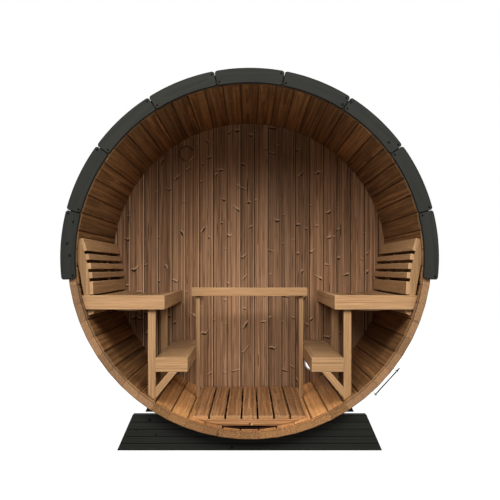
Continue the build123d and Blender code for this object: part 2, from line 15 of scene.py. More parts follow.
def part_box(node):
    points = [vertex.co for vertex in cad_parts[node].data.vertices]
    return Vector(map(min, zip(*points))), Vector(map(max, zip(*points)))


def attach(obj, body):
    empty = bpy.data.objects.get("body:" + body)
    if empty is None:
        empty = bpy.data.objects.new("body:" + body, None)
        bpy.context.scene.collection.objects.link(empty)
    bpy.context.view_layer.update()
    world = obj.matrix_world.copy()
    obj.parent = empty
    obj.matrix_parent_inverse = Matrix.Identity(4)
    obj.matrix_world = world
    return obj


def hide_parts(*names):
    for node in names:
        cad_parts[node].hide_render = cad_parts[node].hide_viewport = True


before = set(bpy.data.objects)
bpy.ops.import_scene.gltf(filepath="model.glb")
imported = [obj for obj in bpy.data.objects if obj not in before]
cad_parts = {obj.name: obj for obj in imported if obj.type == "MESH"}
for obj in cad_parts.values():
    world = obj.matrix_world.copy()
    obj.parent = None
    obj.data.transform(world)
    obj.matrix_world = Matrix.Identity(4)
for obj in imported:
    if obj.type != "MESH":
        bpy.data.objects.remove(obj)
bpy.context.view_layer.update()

log = logging.getLogger("barrel_sauna")

MM = 0.001
WHITE = (1.0, 1.0, 1.0, 1.0)
BODY = "root"
AXIS_HEIGHT = (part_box("staves_bottom")[0].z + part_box("staves_top")[1].z) / 2
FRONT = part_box("staves_top")[0].y
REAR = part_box("staves_top")[1].y
RIGHT = Vector((1.0, 0.0, 0.0))
ALONG = Vector((0.0, 1.0, 0.0))
UP = Vector((0.0, 0.0, 1.0))
ORIGIN = Vector()

SHARP_ANGLE = math.radians(25.0)
CORNER_ANGLE = math.radians(45.0)
FLAT_ANGLE = math.radians(0.5)
MERGE_DISTANCE = 0.01 * MM
SAME_PLANE = 10 * MERGE_DISTANCE
EASE_STEPS = 2

# How far two directions agree, as the dot product of their unit vectors
STRAIGHT = 0.97
END_ON = 0.95
TIP_ON = 0.75
SIDE_ON = 0.3
ASLANT = 0.2

# Marks of a face: below 0 soil, dark joints or painted shade; above 0 eased edges, paler on wood as wear and
# painted highlight, darker under paint as painted shade
SOILED_OR_SHADED = -1.0
UNMARKED = 0.0
EASED_EDGE_MARK = 1.0

# Place of each board in its log: how far apart boards are cut, how fast rings drift, where the pith may lie
BOARD_SPACING = 3.1
FIRST_BOARDS = 40
RING_PULL_SHARE = 0.08
PITH_ASIDE = 0.05
PITH_DEPTHS = (0.03, 0.11)

# Screw heads: corners, and the taper, the socket's inset and its depth as shares of the head
HEAD_CORNERS = 12
HEAD_TAPER = 0.85
SOCKET_INSET = 0.4
SOCKET_DEPTH = 0.8

# Rings of a wave texture are this far apart at a scale of one
RING_UNIT = math.tau / 20
RING_WAVE = {"wave_type": "RINGS", "rings_direction": "X", "wave_profile": "SAW"}
# Length and width of the marks in wood, in millimetres
STREAK_RUN_MM = 1000 / 1.1
# Fibres are finer than a pixel in life, so they are drawn four millimetres apart, nearly six under paint
FIBRE_MM = (1000 / 7, 4.0)
PAINTED_FIBRE_MM = (1000 / 6, 1000 / 180)
# Pitch pockets are long dark slits between two rings
PITCH_MM = (200.0, 1000 / 120)

Mesh = bmesh.types.BMesh
Edge = bmesh.types.BMEdge
Face = bmesh.types.BMFace
Vert = bmesh.types.BMVert
Scene = bpy.types.Scene
Material = bpy.types.Material
Socket = bpy.types.NodeSocket
Outputs = bpy.types.NodeOutputs
Point = tuple[float, float, float]
Band = tuple[float, float]
Value = float | tuple[float, ...] | Socket
Inputs = dict[str | int, Value]
EdgeRule = Callable[[Edge], bool]
FaceRule = Callable[[Face], float]


def linear(hex_colour: str) -> tuple[float, float, float, float]:
    """Turn an sRGB colour into the linear one that shaders take.

    Args:
        hex_colour: Colour written as # and six hex digits.

    Returns:
        Linear red, green, blue and full alpha.
    """
    channels = [int(hex_colour[start:start + 2], 16) / 255 for start in (1, 3, 5)]
    red, green, blue = (c / 12.92 if c <= 0.04045 else ((c + 0.055) / 1.055) ** 2.4 for c in channels)
    return red, green, blue, 1.0


class Side(Enum):
    """Side of the aisle, seen from the front."""

    LEFT = "left"
    RIGHT = "right"

    @property
    def sign(self) -> int:
        """Direction of the side along x."""
        return 1 if self is Side.RIGHT else -1


class Grain(Enum):
    """Way that the fibres of a board run."""

    ACROSS = (1.0, 0.0, 0.0)
    ALONG = (0.0, 1.0, 0.0)
    UPRIGHT = (0.0, 0.0, 1.0)
    AROUND = "round the barrel"
    LONGEST = "with the longest edge"

    def direction(self, faces: Sequence[Face], centre: Vector) -> Vector:
        """Find the fibre direction of one board.

        Args:
            faces: Faces of the board.
            centre: Middle of the board.

        Returns:
            Unit vector along the fibres.
        """
        if self is Grain.AROUND:
            return ALONG.cross(Vector((centre.x, 0.0, centre.z - AXIS_HEIGHT))).normalized()
        if self is Grain.LONGEST:
            edges = (edge for face in faces for edge in face.edges)
            ends = max(edges, key=lambda edge: edge.calc_length()).verts
            return (ends[1].co - ends[0].co).normalized()
        return Vector(self.value)


class Recipe:
    """Node tree of a material or of the world, filled a node at a time."""

    def __init__(self, owner: Material | bpy.types.World) -> None:
        """Empty the node tree of a new material or world.

        Args:
            owner: What the nodes are for.
        """
        owner.use_nodes = True
        self.owner = owner
        self.tree = owner.node_tree
        self.tree.nodes.clear()

    def add(self, kind: str, inputs: Inputs | None = None, **settings: object) -> Outputs:
        """Add a node with its settings, and link or set its inputs.

        Args:
            kind: Node type without its ShaderNode prefix.
            inputs: Socket name or number to a value, or to the socket that feeds it.
            **settings: Properties of the node itself.

        Returns:
            Outputs of the new node.
        """
        node = self.tree.nodes.new("ShaderNode" + kind)
        for name, value in settings.items():
            setattr(node, name, value)
        for key, value in (inputs or {}).items():
            if isinstance(value, Socket):
                self.tree.links.new(value, node.inputs[key])
            else:
                node.inputs[key].default_value = value
        return node.outputs


@dataclass(frozen=True)
class Finish:
    """Finish of a piece, and the name of the slot that it belongs to."""

    name: str
    slot: str

    def material(self) -> Material:
        """Make the material once, and hand out the same one after that."""
        known = bpy.data.materials.get(self.name)
        return known or self.mixed(Recipe(bpy.data.materials.new(self.name)))

    def mixed(self, recipe: Recipe) -> Material:
        """Fill the recipe with this finish's nodes."""
        raise NotImplementedError

    @staticmethod
    def surfaced(recipe: Recipe, relief: tuple[Socket, float, float], surface: Inputs) -> Material:
        """Close a recipe with its relief and its shader.

        Args:
            recipe: Material to close.
            relief: Height pattern, its strength, and its depth in millimetres.
            surface: Inputs of the shader.

        Returns:
            The finished material.
        """
        height, strength, depth = relief
        bump = recipe.add("Bump", {"Height": height, "Strength": strength, "Distance": depth * MM})[0]
        shader = recipe.add("BsdfPrincipled", {**surface, "Normal": bump})[0]
        recipe.add("OutputMaterial", {"Surface": shader})
        return recipe.owner

    @staticmethod
    def marks(recipe: Recipe, grain: Socket, size: Band, detail: float, rough: float = 0.5) -> Socket:
        """Draw long thin marks that follow the fibres of a board.

        Args:
            recipe: Material to add the nodes to.
            grain: Board coordinates, along, across and through, in metres.
            size: Length and width of a mark in millimetres.
            detail: Levels of finer marks.
            rough: Strength of the finer marks.

        Returns:
            Pattern from 0 to 1.
        """
        run, width = (1 / (measure * MM) for measure in size)
        drawn = recipe.add("VectorMath", {0: grain, 1: (run, width, width)}, operation="MULTIPLY")[0]
        noise = {"Vector": drawn, "Scale": 1.0, "Detail": detail, "Roughness": rough}
        return recipe.add("TexNoise", noise)[0]


@dataclass(frozen=True)
class WoodFinish(Finish):
    """Planed knotty softwood: growth rings, long streaks, knots with pale halos and open end grain."""

    early: str
    late: str
    stain: str
    knot: str
    halo: str
    tip: str
    # Colour of worn eased edges, which also stands as painted highlight on lit edges and chamfers
    rub_and_highlight: str = "#dcb78d"
    ring_mm: float = 15.0
    ring_share: float = 0.6
    ring_warp: float = 3.5
    ring_bulge: Point = (0.0, 0.5, 1.2)
    ring_relief: float = 0.5
    streak_mm: float = 12.0
    streak_share: float = 0.5
    streak_band: Band = (0.4, 0.68)
    pitch_share: float = 0.0
    pitch_band: Band = (0.74, 0.78)
    pore_band: Band = (1.0, 0.4)
    speck_band: Band = (0.3, 0.7)
    speck_value: Band = (0.78, 1.22)
    knot_gap_mm: float = 170.0
    knot_row_mm: float = 85.0
    knot_arm_mm: float = 50.0
    knot_mm: float = 4.0
    knot_share: float = 0.48
    knot_tilt: float = 0.5
    knot_rise: float = 0.6
    least_arm: float = 0.15
    arm_point: float = 0.01
    lump_rate: float = 0.12
    lump_band: Band = (0.35, 0.65)
    lump_size: Band = (0.5, 1.7)
    wobble_rate: float = 0.3
    wobble_reach: float = 2.0
    strokes: tuple[Band, Band] = ((1.0, 1.3), (3.3, 2.0))
    stroke_edge: Band = (1.3, 0.6)
    halo_share: float = 0.65
    tip_share: float = 0.65
    rub_and_highlight_share: float = 0.5
    seam_share: float = 0.8
    tone_share: float = 0.2
    roughness: float = 0.62
    gloss_spread: float = 0.1
    gleam: float = 0.15
    relief: float = 0.5
    relief_mm: float = 0.6

    def knots(self, recipe: Recipe, grain: Socket) -> tuple[Socket, Socket]:
        """Scatter spike knots along the boards, each a dark tick of two rising arms under a pale flare.

        Args:
            recipe: Material to add the nodes to.
            grain: Board coordinates, along, across and through, in metres.

        Returns:
            Masks of the knots and of the pale wood above them.
        """
        gap, row = self.knot_gap_mm * MM, self.knot_row_mm * MM
        arm, stroke = self.knot_arm_mm * MM, self.knot_mm * MM
        place = recipe.add("VectorMath", {0: grain, 1: (1 / gap, 1 / row, 0.0)}, operation="MULTIPLY")[0]
        cell = recipe.add("TexVoronoi", {"Vector": place, "Scale": 1.0}, voronoi_dimensions="2D")
        chance = recipe.add("SeparateColor", {0: cell["Color"]})
        present = recipe.add("Math", {0: chance[0], 1: self.knot_share}, operation="LESS_THAN")[0]
        away = recipe.add("VectorMath", {0: place, 1: cell["Position"]}, operation="SUBTRACT")[0]
        real = recipe.add("VectorMath", {0: away, 1: (gap, row, 0.0)}, operation="MULTIPLY")[0]
        tilt = recipe.add("MapRange", {"Value": chance[1], "To Min": -self.knot_tilt,
                                       "To Max": self.knot_tilt})[0]
        turned = recipe.add("VectorRotate", {"Vector": real, "Angle": tilt}, rotation_type="Z_AXIS")[0]
        lie = recipe.add("SeparateXYZ", {0: turned})
        reach = recipe.add("MapRange", {"Value": chance[2], "To Min": self.least_arm * arm, "To Max": arm})[0]
        beside = recipe.add("Math", {0: lie["Y"]}, operation="ABSOLUTE")[0]
        taper = recipe.add("MapRange", {"Value": beside, "From Max": reach, "To Min": stroke,
                                        "To Max": self.arm_point * stroke})[0]
        lumps = recipe.add("TexNoise", {"Vector": grain, "Scale": self.lump_rate / stroke, "Detail": 0.0})[0]
        swell = recipe.add("MapRange", {"Value": lumps, "From Min": self.lump_band[0],
                                        "From Max": self.lump_band[1], "To Min": self.lump_size[0],
                                        "To Max": self.lump_size[1]})[0]
        thick = recipe.add("Math", {0: taper, 1: swell}, operation="MULTIPLY")[0]
        skew = recipe.add("MapRange", {"Value": chance[0], "From Max": self.knot_share, "To Min": -arm / 2,
                                       "To Max": arm / 2})[0]
        leaning = recipe.add("Math", {0: lie["Y"], 1: skew}, operation="ADD")[0]
        climbing = recipe.add("Math", {0: leaning}, operation="ABSOLUTE")[0]
        rise = recipe.add("Math", {0: climbing, 1: -self.knot_rise, 2: lie["X"]}, operation="MULTIPLY_ADD")[0]
        wobble = recipe.add("TexNoise", {"Vector": grain, "Scale": self.wobble_rate / stroke,
                                         "Detail": 2.0})[0]
        swing = {0: wobble, 1: self.wobble_reach * stroke, 2: rise}
        uneven = recipe.add("Math", swing, operation="MULTIPLY_ADD")[0]
        outer, inner = self.stroke_edge
        masks = []
        for above, width in self.strokes:
            off = recipe.add("Math", {0: uneven, 1: above * stroke}, operation="SUBTRACT")[0]
            distance = recipe.add("Math", {0: off}, operation="ABSOLUTE")[0]
            ratio = recipe.add("Math", {0: distance, 1: thick}, operation="DIVIDE")[0]
            fading = {"Value": ratio, "From Min": outer * width, "From Max": inner * width}
            inside = recipe.add("MapRange", fading, interpolation_type="SMOOTHSTEP")[0]
            masks.append(recipe.add("Math", {0: inside, 1: present}, operation="MULTIPLY")[0])
        return masks[0], masks[1]

    def mixed(self, recipe: Recipe) -> Material:
        """Fill the recipe with rings, streaks, knots and end grain, board by board.

        Args:
            recipe: Empty material.

        Returns:
            The finished material.
        """
        grain, rings, tone, tip, edge = (recipe.add("Attribute", attribute_name=name)
                                         for name in ("grain", "rings", "tone", "tip", "edge"))
        board = grain["Vector"]
        knot, halo = self.knots(recipe, board)
        pull = tuple(share * self.ring_mm * MM for share in self.ring_bulge)
        bulge = recipe.add("VectorMath", {0: halo, 1: pull}, operation="MULTIPLY")[0]
        bent = recipe.add("VectorMath", {0: rings["Vector"], 1: bulge}, operation="ADD")[0]
        ring = recipe.add("TexWave", {"Vector": bent, "Scale": RING_UNIT / (self.ring_mm * MM),
                                      "Distortion": self.ring_warp, "Detail": 2.0, "Detail Scale": 1.0,
                                      "Detail Roughness": 0.55}, **RING_WAVE)["Fac"]
        streak = self.marks(recipe, board, (STREAK_RUN_MM, self.streak_mm), 3.0, 0.6)
        fibre = self.marks(recipe, board, FIBRE_MM, 2.0)
        pitch = self.marks(recipe, board, PITCH_MM, 0.0)
        pores = recipe.add("MapRange", {"Value": fibre, "From Min": self.pore_band[0],
                                        "From Max": self.pore_band[1], "To Max": self.tip_share})[0]
        streaks = {"Value": streak, "From Min": self.streak_band[0], "From Max": self.streak_band[1],
                   "To Max": self.streak_share}
        slits = {"Value": pitch, "From Min": self.pitch_band[0], "From Max": self.pitch_band[1],
                 "To Max": self.pitch_share}
        seams = {"Value": edge["Fac"], "From Max": SOILED_OR_SHADED, "To Max": self.seam_share}
        shares = (
            (recipe.add("Math", {0: ring, 1: self.ring_share}, operation="MULTIPLY")[0], self.late),
            (recipe.add("MapRange", streaks, interpolation_type="SMOOTHSTEP")[0], self.stain),
            (recipe.add("Math", {0: halo, 1: self.halo_share}, operation="MULTIPLY")[0], self.halo),
            (knot, self.knot),
            (recipe.add("MapRange", slits)[0], self.knot),
            (recipe.add("Math", {0: pores, 1: tip["Fac"]}, operation="MULTIPLY")[0], self.tip),
            # Marked faces: above 0 paler as wear and painted highlight, below 0 darker as soil, dark joints
            # and painted shade
            (recipe.add("MapRange", {"Value": edge["Fac"], "To Max": self.rub_and_highlight_share})[0], self.rub_and_highlight),
            (recipe.add("MapRange", seams)[0], self.knot),
        )
        colour: Value = linear(self.early)
        for share, other in shares:
            colour = recipe.add("Mix", {0: share, 6: colour, 7: linear(other)}, data_type="RGBA")[2]
        value = recipe.add("MapRange", {"Value": tone["Fac"], "To Min": 1 - self.tone_share,
                                        "To Max": 1 + self.tone_share})[0]
        speck = recipe.add("MapRange", {"Value": fibre, "From Min": self.speck_band[0],
                                        "From Max": self.speck_band[1], "To Min": self.speck_value[0],
                                        "To Max": self.speck_value[1]})[0]
        level = recipe.add("Math", {0: value, 1: speck}, operation="MULTIPLY")[0]
        toned = recipe.add("HueSaturation", {"Color": colour, "Value": level})[0]
        gloss = recipe.add("MapRange", {"Value": fibre, "To Min": self.roughness - self.gloss_spread,
                                        "To Max": self.roughness + self.gloss_spread})[0]
        height = recipe.add("Math", {0: ring, 1: self.ring_relief, 2: fibre}, operation="MULTIPLY_ADD")[0]
        surface = {"Base Color": toned, "Roughness": gloss, "Specular IOR Level": self.gleam}
        return self.surfaced(recipe, (height, self.relief, self.relief_mm), surface)


@dataclass(frozen=True)
class PaintedWood(Finish):
    """Softwood under opaque paint: one colour over faint ridges of grain, darker at knots, and at the eased
    edges as painted shade.
    """

    coat: str
    shade: str
    # Dark colour of the knots, and of the eased edges as painted shade
    knot_and_edge_shade: str
    ring_mm: float = 16.0
    ring_warp: float = 4.0
    ring_relief: float = 0.6
    blotch_mm: float = 120.0
    knot_gap_mm: float = 60.0
    knot_mm: float = 12.0
    knot_share: float = 0.5
    tone_share: float = 0.08
    roughness: float = 0.7
    gloss_spread: Band = (-0.1, 0.12)
    gleam: float = 0.08
    relief: float = 0.5
    relief_mm: float = 0.8

    def mixed(self, recipe: Recipe) -> Material:
        """Fill the recipe with paint over ridged grain.

        Args:
            recipe: Empty material.

        Returns:
            The finished material.
        """
        grain, rings, tone, edge = (recipe.add("Attribute", attribute_name=name)
                                    for name in ("grain", "rings", "tone", "edge"))
        board = grain["Vector"]
        ring = recipe.add("TexWave", {"Vector": rings["Vector"], "Scale": RING_UNIT / (self.ring_mm * MM),
                                      "Distortion": self.ring_warp, "Detail": 2.0, "Detail Scale": 1.0},
                          **RING_WAVE)["Fac"]
        fibre = self.marks(recipe, board, PAINTED_FIBRE_MM, 2.0)
        blotch = recipe.add("TexNoise", {"Vector": board, "Scale": 1 / (self.blotch_mm * MM),
                                         "Detail": 2.0})[0]
        mottled = recipe.add("Math", {0: blotch, 1: ring}, operation="MULTIPLY")[0]
        shades = {0: mottled, 6: linear(self.coat), 7: linear(self.shade)}
        coated = recipe.add("Mix", shades, data_type="RGBA")[2]
        cell = recipe.add("TexVoronoi", {"Vector": board, "Scale": 1 / (self.knot_gap_mm * MM)})
        chance = recipe.add("SeparateColor", {0: cell["Color"]})[0]
        size = recipe.add("MapRange", {"Value": chance, "From Max": self.knot_share, "To Max": 0.0,
                                       "To Min": self.knot_mm / self.knot_gap_mm})[0]
        knot = recipe.add("Math", {0: cell["Distance"], 1: size}, operation="LESS_THAN")[0]
        # Knots, and the eased edges darkened as painted shade, take the dark colour
        knot_or_edge_shade = recipe.add("Math", {0: edge["Fac"], 1: knot}, operation="MAXIMUM")[0]
        colour = recipe.add("Mix", {0: knot_or_edge_shade, 6: coated, 7: linear(self.knot_and_edge_shade)}, data_type="RGBA")[2]
        value = recipe.add("MapRange", {"Value": tone["Fac"], "To Min": 1 - self.tone_share,
                                        "To Max": 1 + self.tone_share})[0]
        toned = recipe.add("HueSaturation", {"Color": colour, "Value": value})[0]
        gloss = recipe.add("MapRange", {"Value": fibre, "To Min": self.roughness + self.gloss_spread[0],
                                        "To Max": self.roughness + self.gloss_spread[1]})[0]
        height = recipe.add("Math", {0: ring, 1: self.ring_relief, 2: fibre}, operation="MULTIPLY_ADD")[0]
        surface = {"Base Color": toned, "Roughness": gloss, "Specular IOR Level": self.gleam}
        return self.surfaced(recipe, (height, self.relief, self.relief_mm), surface)


@dataclass(frozen=True)
class MineralFelt(Finish):
    """Bitumen felt strewn with crushed slate: dark, rough and grainy, a little different from tab to tab."""

    slate: str
    chip: str
    chip_mm: float = 6.0
    tone_value: Band = (0.75, 1.2)
    roughness: float = 0.9
    relief: float = 0.6
    relief_mm: float = 1.2

    def mixed(self, recipe: Recipe) -> Material:
        """Fill the recipe with chips of slate in two greys.

        Args:
            recipe: Empty material.

        Returns:
            The finished material.
        """
        place = recipe.add("TexCoord")["Object"]
        tone = recipe.add("Attribute", attribute_name="tone")["Fac"]
        # Slate chips are about two millimetres across, drawn larger so that they show
        chips = recipe.add("TexVoronoi", {"Vector": place, "Scale": 1 / (self.chip_mm * MM)})["Color"]
        draw = recipe.add("SeparateColor", {"Color": chips})[0]
        greys = {0: draw, 6: linear(self.slate), 7: linear(self.chip)}
        colour = recipe.add("Mix", greys, data_type="RGBA")[2]
        value = recipe.add("MapRange", {"Value": tone, "To Min": self.tone_value[0],
                                        "To Max": self.tone_value[1]})[0]
        toned = recipe.add("HueSaturation", {"Color": colour, "Value": value})[0]
        surface = {"Base Color": toned, "Roughness": self.roughness}
        return self.surfaced(recipe, (draw, self.relief, self.relief_mm), surface)


@dataclass(frozen=True)
class Steel(Finish):
    """Rolled steel: a grey metal with fine scratches, duller where it has been handled."""

    sheen: str
    dull: str
    scratch_mm: float = 2.5
    scratch_draw: float = 0.1
    cloud_share: float = 0.05
    cloud_band: Band = (0.4, 0.65)
    roughness: float = 0.35
    gloss_spread: Band = (-0.12, 0.18)
    relief: float = 0.3
    relief_mm: float = 0.2

    def mixed(self, recipe: Recipe) -> Material:
        """Fill the recipe with scratched metal.

        Args:
            recipe: Empty material.

        Returns:
            The finished material.
        """
        place = recipe.add("TexCoord")["Object"]
        scale = 1 / (self.scratch_mm * MM)
        stretch = (scale, self.scratch_draw * scale, scale)
        drawn = recipe.add("Mapping", {"Vector": place, "Scale": stretch})[0]
        scratch = recipe.add("TexNoise", {"Vector": drawn, "Scale": 1.0, "Detail": 2.0})[0]
        cloud = recipe.add("TexNoise", {"Vector": place, "Scale": self.cloud_share * scale, "Detail": 2.0})[0]
        patch = recipe.add("MapRange", {"Value": cloud, "From Min": self.cloud_band[0],
                                        "From Max": self.cloud_band[1]})[0]
        greys = {0: patch, 6: linear(self.sheen), 7: linear(self.dull)}
        colour = recipe.add("Mix", greys, data_type="RGBA")[2]
        gloss = recipe.add("MapRange", {"Value": scratch, "To Min": self.roughness + self.gloss_spread[0],
                                        "To Max": self.roughness + self.gloss_spread[1]})[0]
        surface = {"Base Color": colour, "Roughness": gloss, "Metallic": 1.0}
        return self.surfaced(recipe, (scratch, self.relief, self.relief_mm), surface)


# Staves in the shade of the roof: brown heat-treated pine that sinks into the dark between clear joint lines
STAVE_PINE = WoodFinish("heat_treated_pine_staves", "stave_wood", early="#996d43", late="#543519",
                        stain="#2b190a", knot="#1c0f07", halo="#b88d60", tip="#9c7a5b", ring_share=0.7,
                        streak_share=0.65, knot_share=0.3, tip_share=0.6, tone_share=0.28)
# Staves beside the duckboard: the stave pine with painted light, brighter and more orange as if lit more
# strongly, a warm orange glow low in the round
FOOT_PINE_PAINTED_LIGHT = WoodFinish("heat_treated_pine_foot_staves", "stave_wood", early="#e8ab6e", late="#c58a54",
                       stain="#b47a45", knot="#24120a", halo="#e8b27a", tip="#6f5032", ring_share=0.85,
                       streak_share=0.7, knot_share=0.4, tip_share=0.95, seam_share=1.0)
# Back wall: greyer pine boards, each its own tone, with slanting knots in pale flares, that fill the round
WALL_PINE = WoodFinish("heat_treated_pine_wall", "wall_wood", early="#ad8563", late="#835f43",
                       stain="#543520", knot="#27140a", halo="#c9a37e", tip="#a07c58", ring_share=0.75,
                       streak_mm=9.0, streak_share=0.75, pitch_share=0.8, rub_and_highlight_share=0.85, tone_share=0.24)
# Benches, guard and backrests: clear pale wood without knots, the brightest thing in the cabin
BENCH_ALDER = WoodFinish("planed_alder_benches", "bench_wood", early="#b08a64", late="#99724a",
                         stain="#8e683b", knot="#5d3b20", halo="#c3a07a", tip="#b48d64", rub_and_highlight="#c7a47e",
                         ring_mm=9.0, streak_mm=6.0, knot_share=0.0, rub_and_highlight_share=0.4, tone_share=0.1)
# Duckboard: rougher speckled pine boards with small dark knots, lighter towards the front
FLOOR_PINE = WoodFinish("heat_treated_pine_floor", "floor_wood", early="#c39263", late="#85552f",
                        stain="#6e4323", knot="#241108", halo="#cda376", tip="#b98d61", knot_share=0.55,
                        knot_gap_mm=110.0, knot_row_mm=40.0, knot_arm_mm=14.0, ring_share=0.8,
                        streak_share=0.65, rub_and_highlight_share=0.15)
# Roof trims: charcoal paint that frames the barrel, drawn out by edges darkened as painted shade
TRIM_PAINT = PaintedWood("charcoal_painted_pine", "trim_paint", coat="#2a2a26", shade="#1f1f1c",
                         knot_and_edge_shade="#0e0e0c")
# Cradles: nearly black stain, so that the barrel seems to float, its edges darkened further as painted shade
CRADLE_STAIN = PaintedWood("black_stained_pine", "cradle_wood", coat="#252521", shade="#181815",
                           knot_and_edge_shade="#050504")
# Roof covering: a dull dark field, grainy close by, that throws back no gleam
ROOF_FELT = MineralFelt("slated_bitumen_felt", "roof_felt", slate="#26272a", chip="#4a4c50")
# Bands and washers: grey rolled strip with soft reflections, a thin cool line on warm wood
BAND_STEEL = Steel("galvanised_steel_strip", "band_steel", sheen="#a9abad", dull="#7d8083")
# Screw heads: blackened and dull, small dark dots in the paint and the boards
SCREW_STEEL = Steel("blackened_steel_screws", "band_steel", sheen="#080808", dull="#050505", roughness=0.6)
# Bolts: dark oiled rod, its thread broken into fine lines of light
ROD_STEEL = Steel("oiled_threaded_rod", "band_steel", sheen="#25282a", dull="#17191a", roughness=0.45)
# Vent ring: polished metal, one small bright spot low on the wall
VENT_STEEL = Steel("polished_stainless_steel", "vent_steel", sheen="#dcdddd", dull="#c4c6c7", roughness=0.25)


def convex_and_sharp(edge: Edge) -> bool:
    """Tell whether an edge is an outer corner of a board."""
    return edge.is_manifold and edge.is_convex and edge.calc_face_angle() > SHARP_ANGLE


def verts_in(geometry: Iterable[object]) -> list[Vert]:
    """Pick the vertices out of what an operator gives back."""
    return [item for item in geometry if isinstance(item, Vert)]


def once(items: Iterable[Vert | Edge | Face]) -> list[Vert | Edge | Face]:
    """List parts of a mesh once each, in the order that they come, which a set leaves to chance."""
    return list(dict.fromkeys(items))


def islands(mesh: Mesh) -> list[list[Face]]:
    """Split a mesh into its separate boards.

    Args:
        mesh: Mesh of one or more boards that don't touch.

    Returns:
        Faces of each board.
    """
    waiting = set(mesh.faces)
    boards = []
    for first in mesh.faces:
        if first not in waiting:
            continue
        waiting.discard(first)
        board, frontier = [], [first]
        while frontier:
            face = frontier.pop()
            board.append(face)
            for near in (other for edge in face.edges for other in edge.link_faces):
                if near in waiting:
                    waiting.discard(near)
                    frontier.append(near)
        boards.append(board)
    return boards


def screw_heads(places: Sequence[Vector], outward: Vector, radius: float, height: float) -> Mesh:
    """Set screw heads with a socket in a flat face.

    Args:
        places: Middles of the heads on the face.
        outward: Way that the face looks.
        radius: Radius of a head.
        height: Height of a head above the face.

    Returns:
        Mesh of all the heads.
    """
    mesh = bmesh.new()
    turn = UP.rotation_difference(outward).to_matrix().to_4x4()
    for place in places:
        lie = Matrix.Translation(place) @ turn
        made = bmesh.ops.create_cone(mesh, cap_ends=True, segments=HEAD_CORNERS, radius1=radius,
                                     radius2=HEAD_TAPER * radius, depth=2 * height, matrix=lie)
        faces = once(face for vert in made["verts"] for face in vert.link_faces)
        top = max(faces, key=lambda face: face.calc_center_median().dot(outward))
        bmesh.ops.inset_region(mesh, faces=[top], thickness=SOCKET_INSET * radius,
                               depth=-SOCKET_DEPTH * height)
    return mesh


@dataclass(frozen=True)
class ShadeRule:
    """Rule that darkens, as painted shade, the faces that look one way, or both ways along it."""

    way: Vector
    limit: float
    both: bool = True

    def __call__(self, face: Face) -> float:
        """Darken a face wholly as painted shade, or leave it unmarked."""
        turn = face.normal.dot(self.way)
        return SOILED_OR_SHADED if (abs(turn) if self.both else turn) > self.limit else UNMARKED


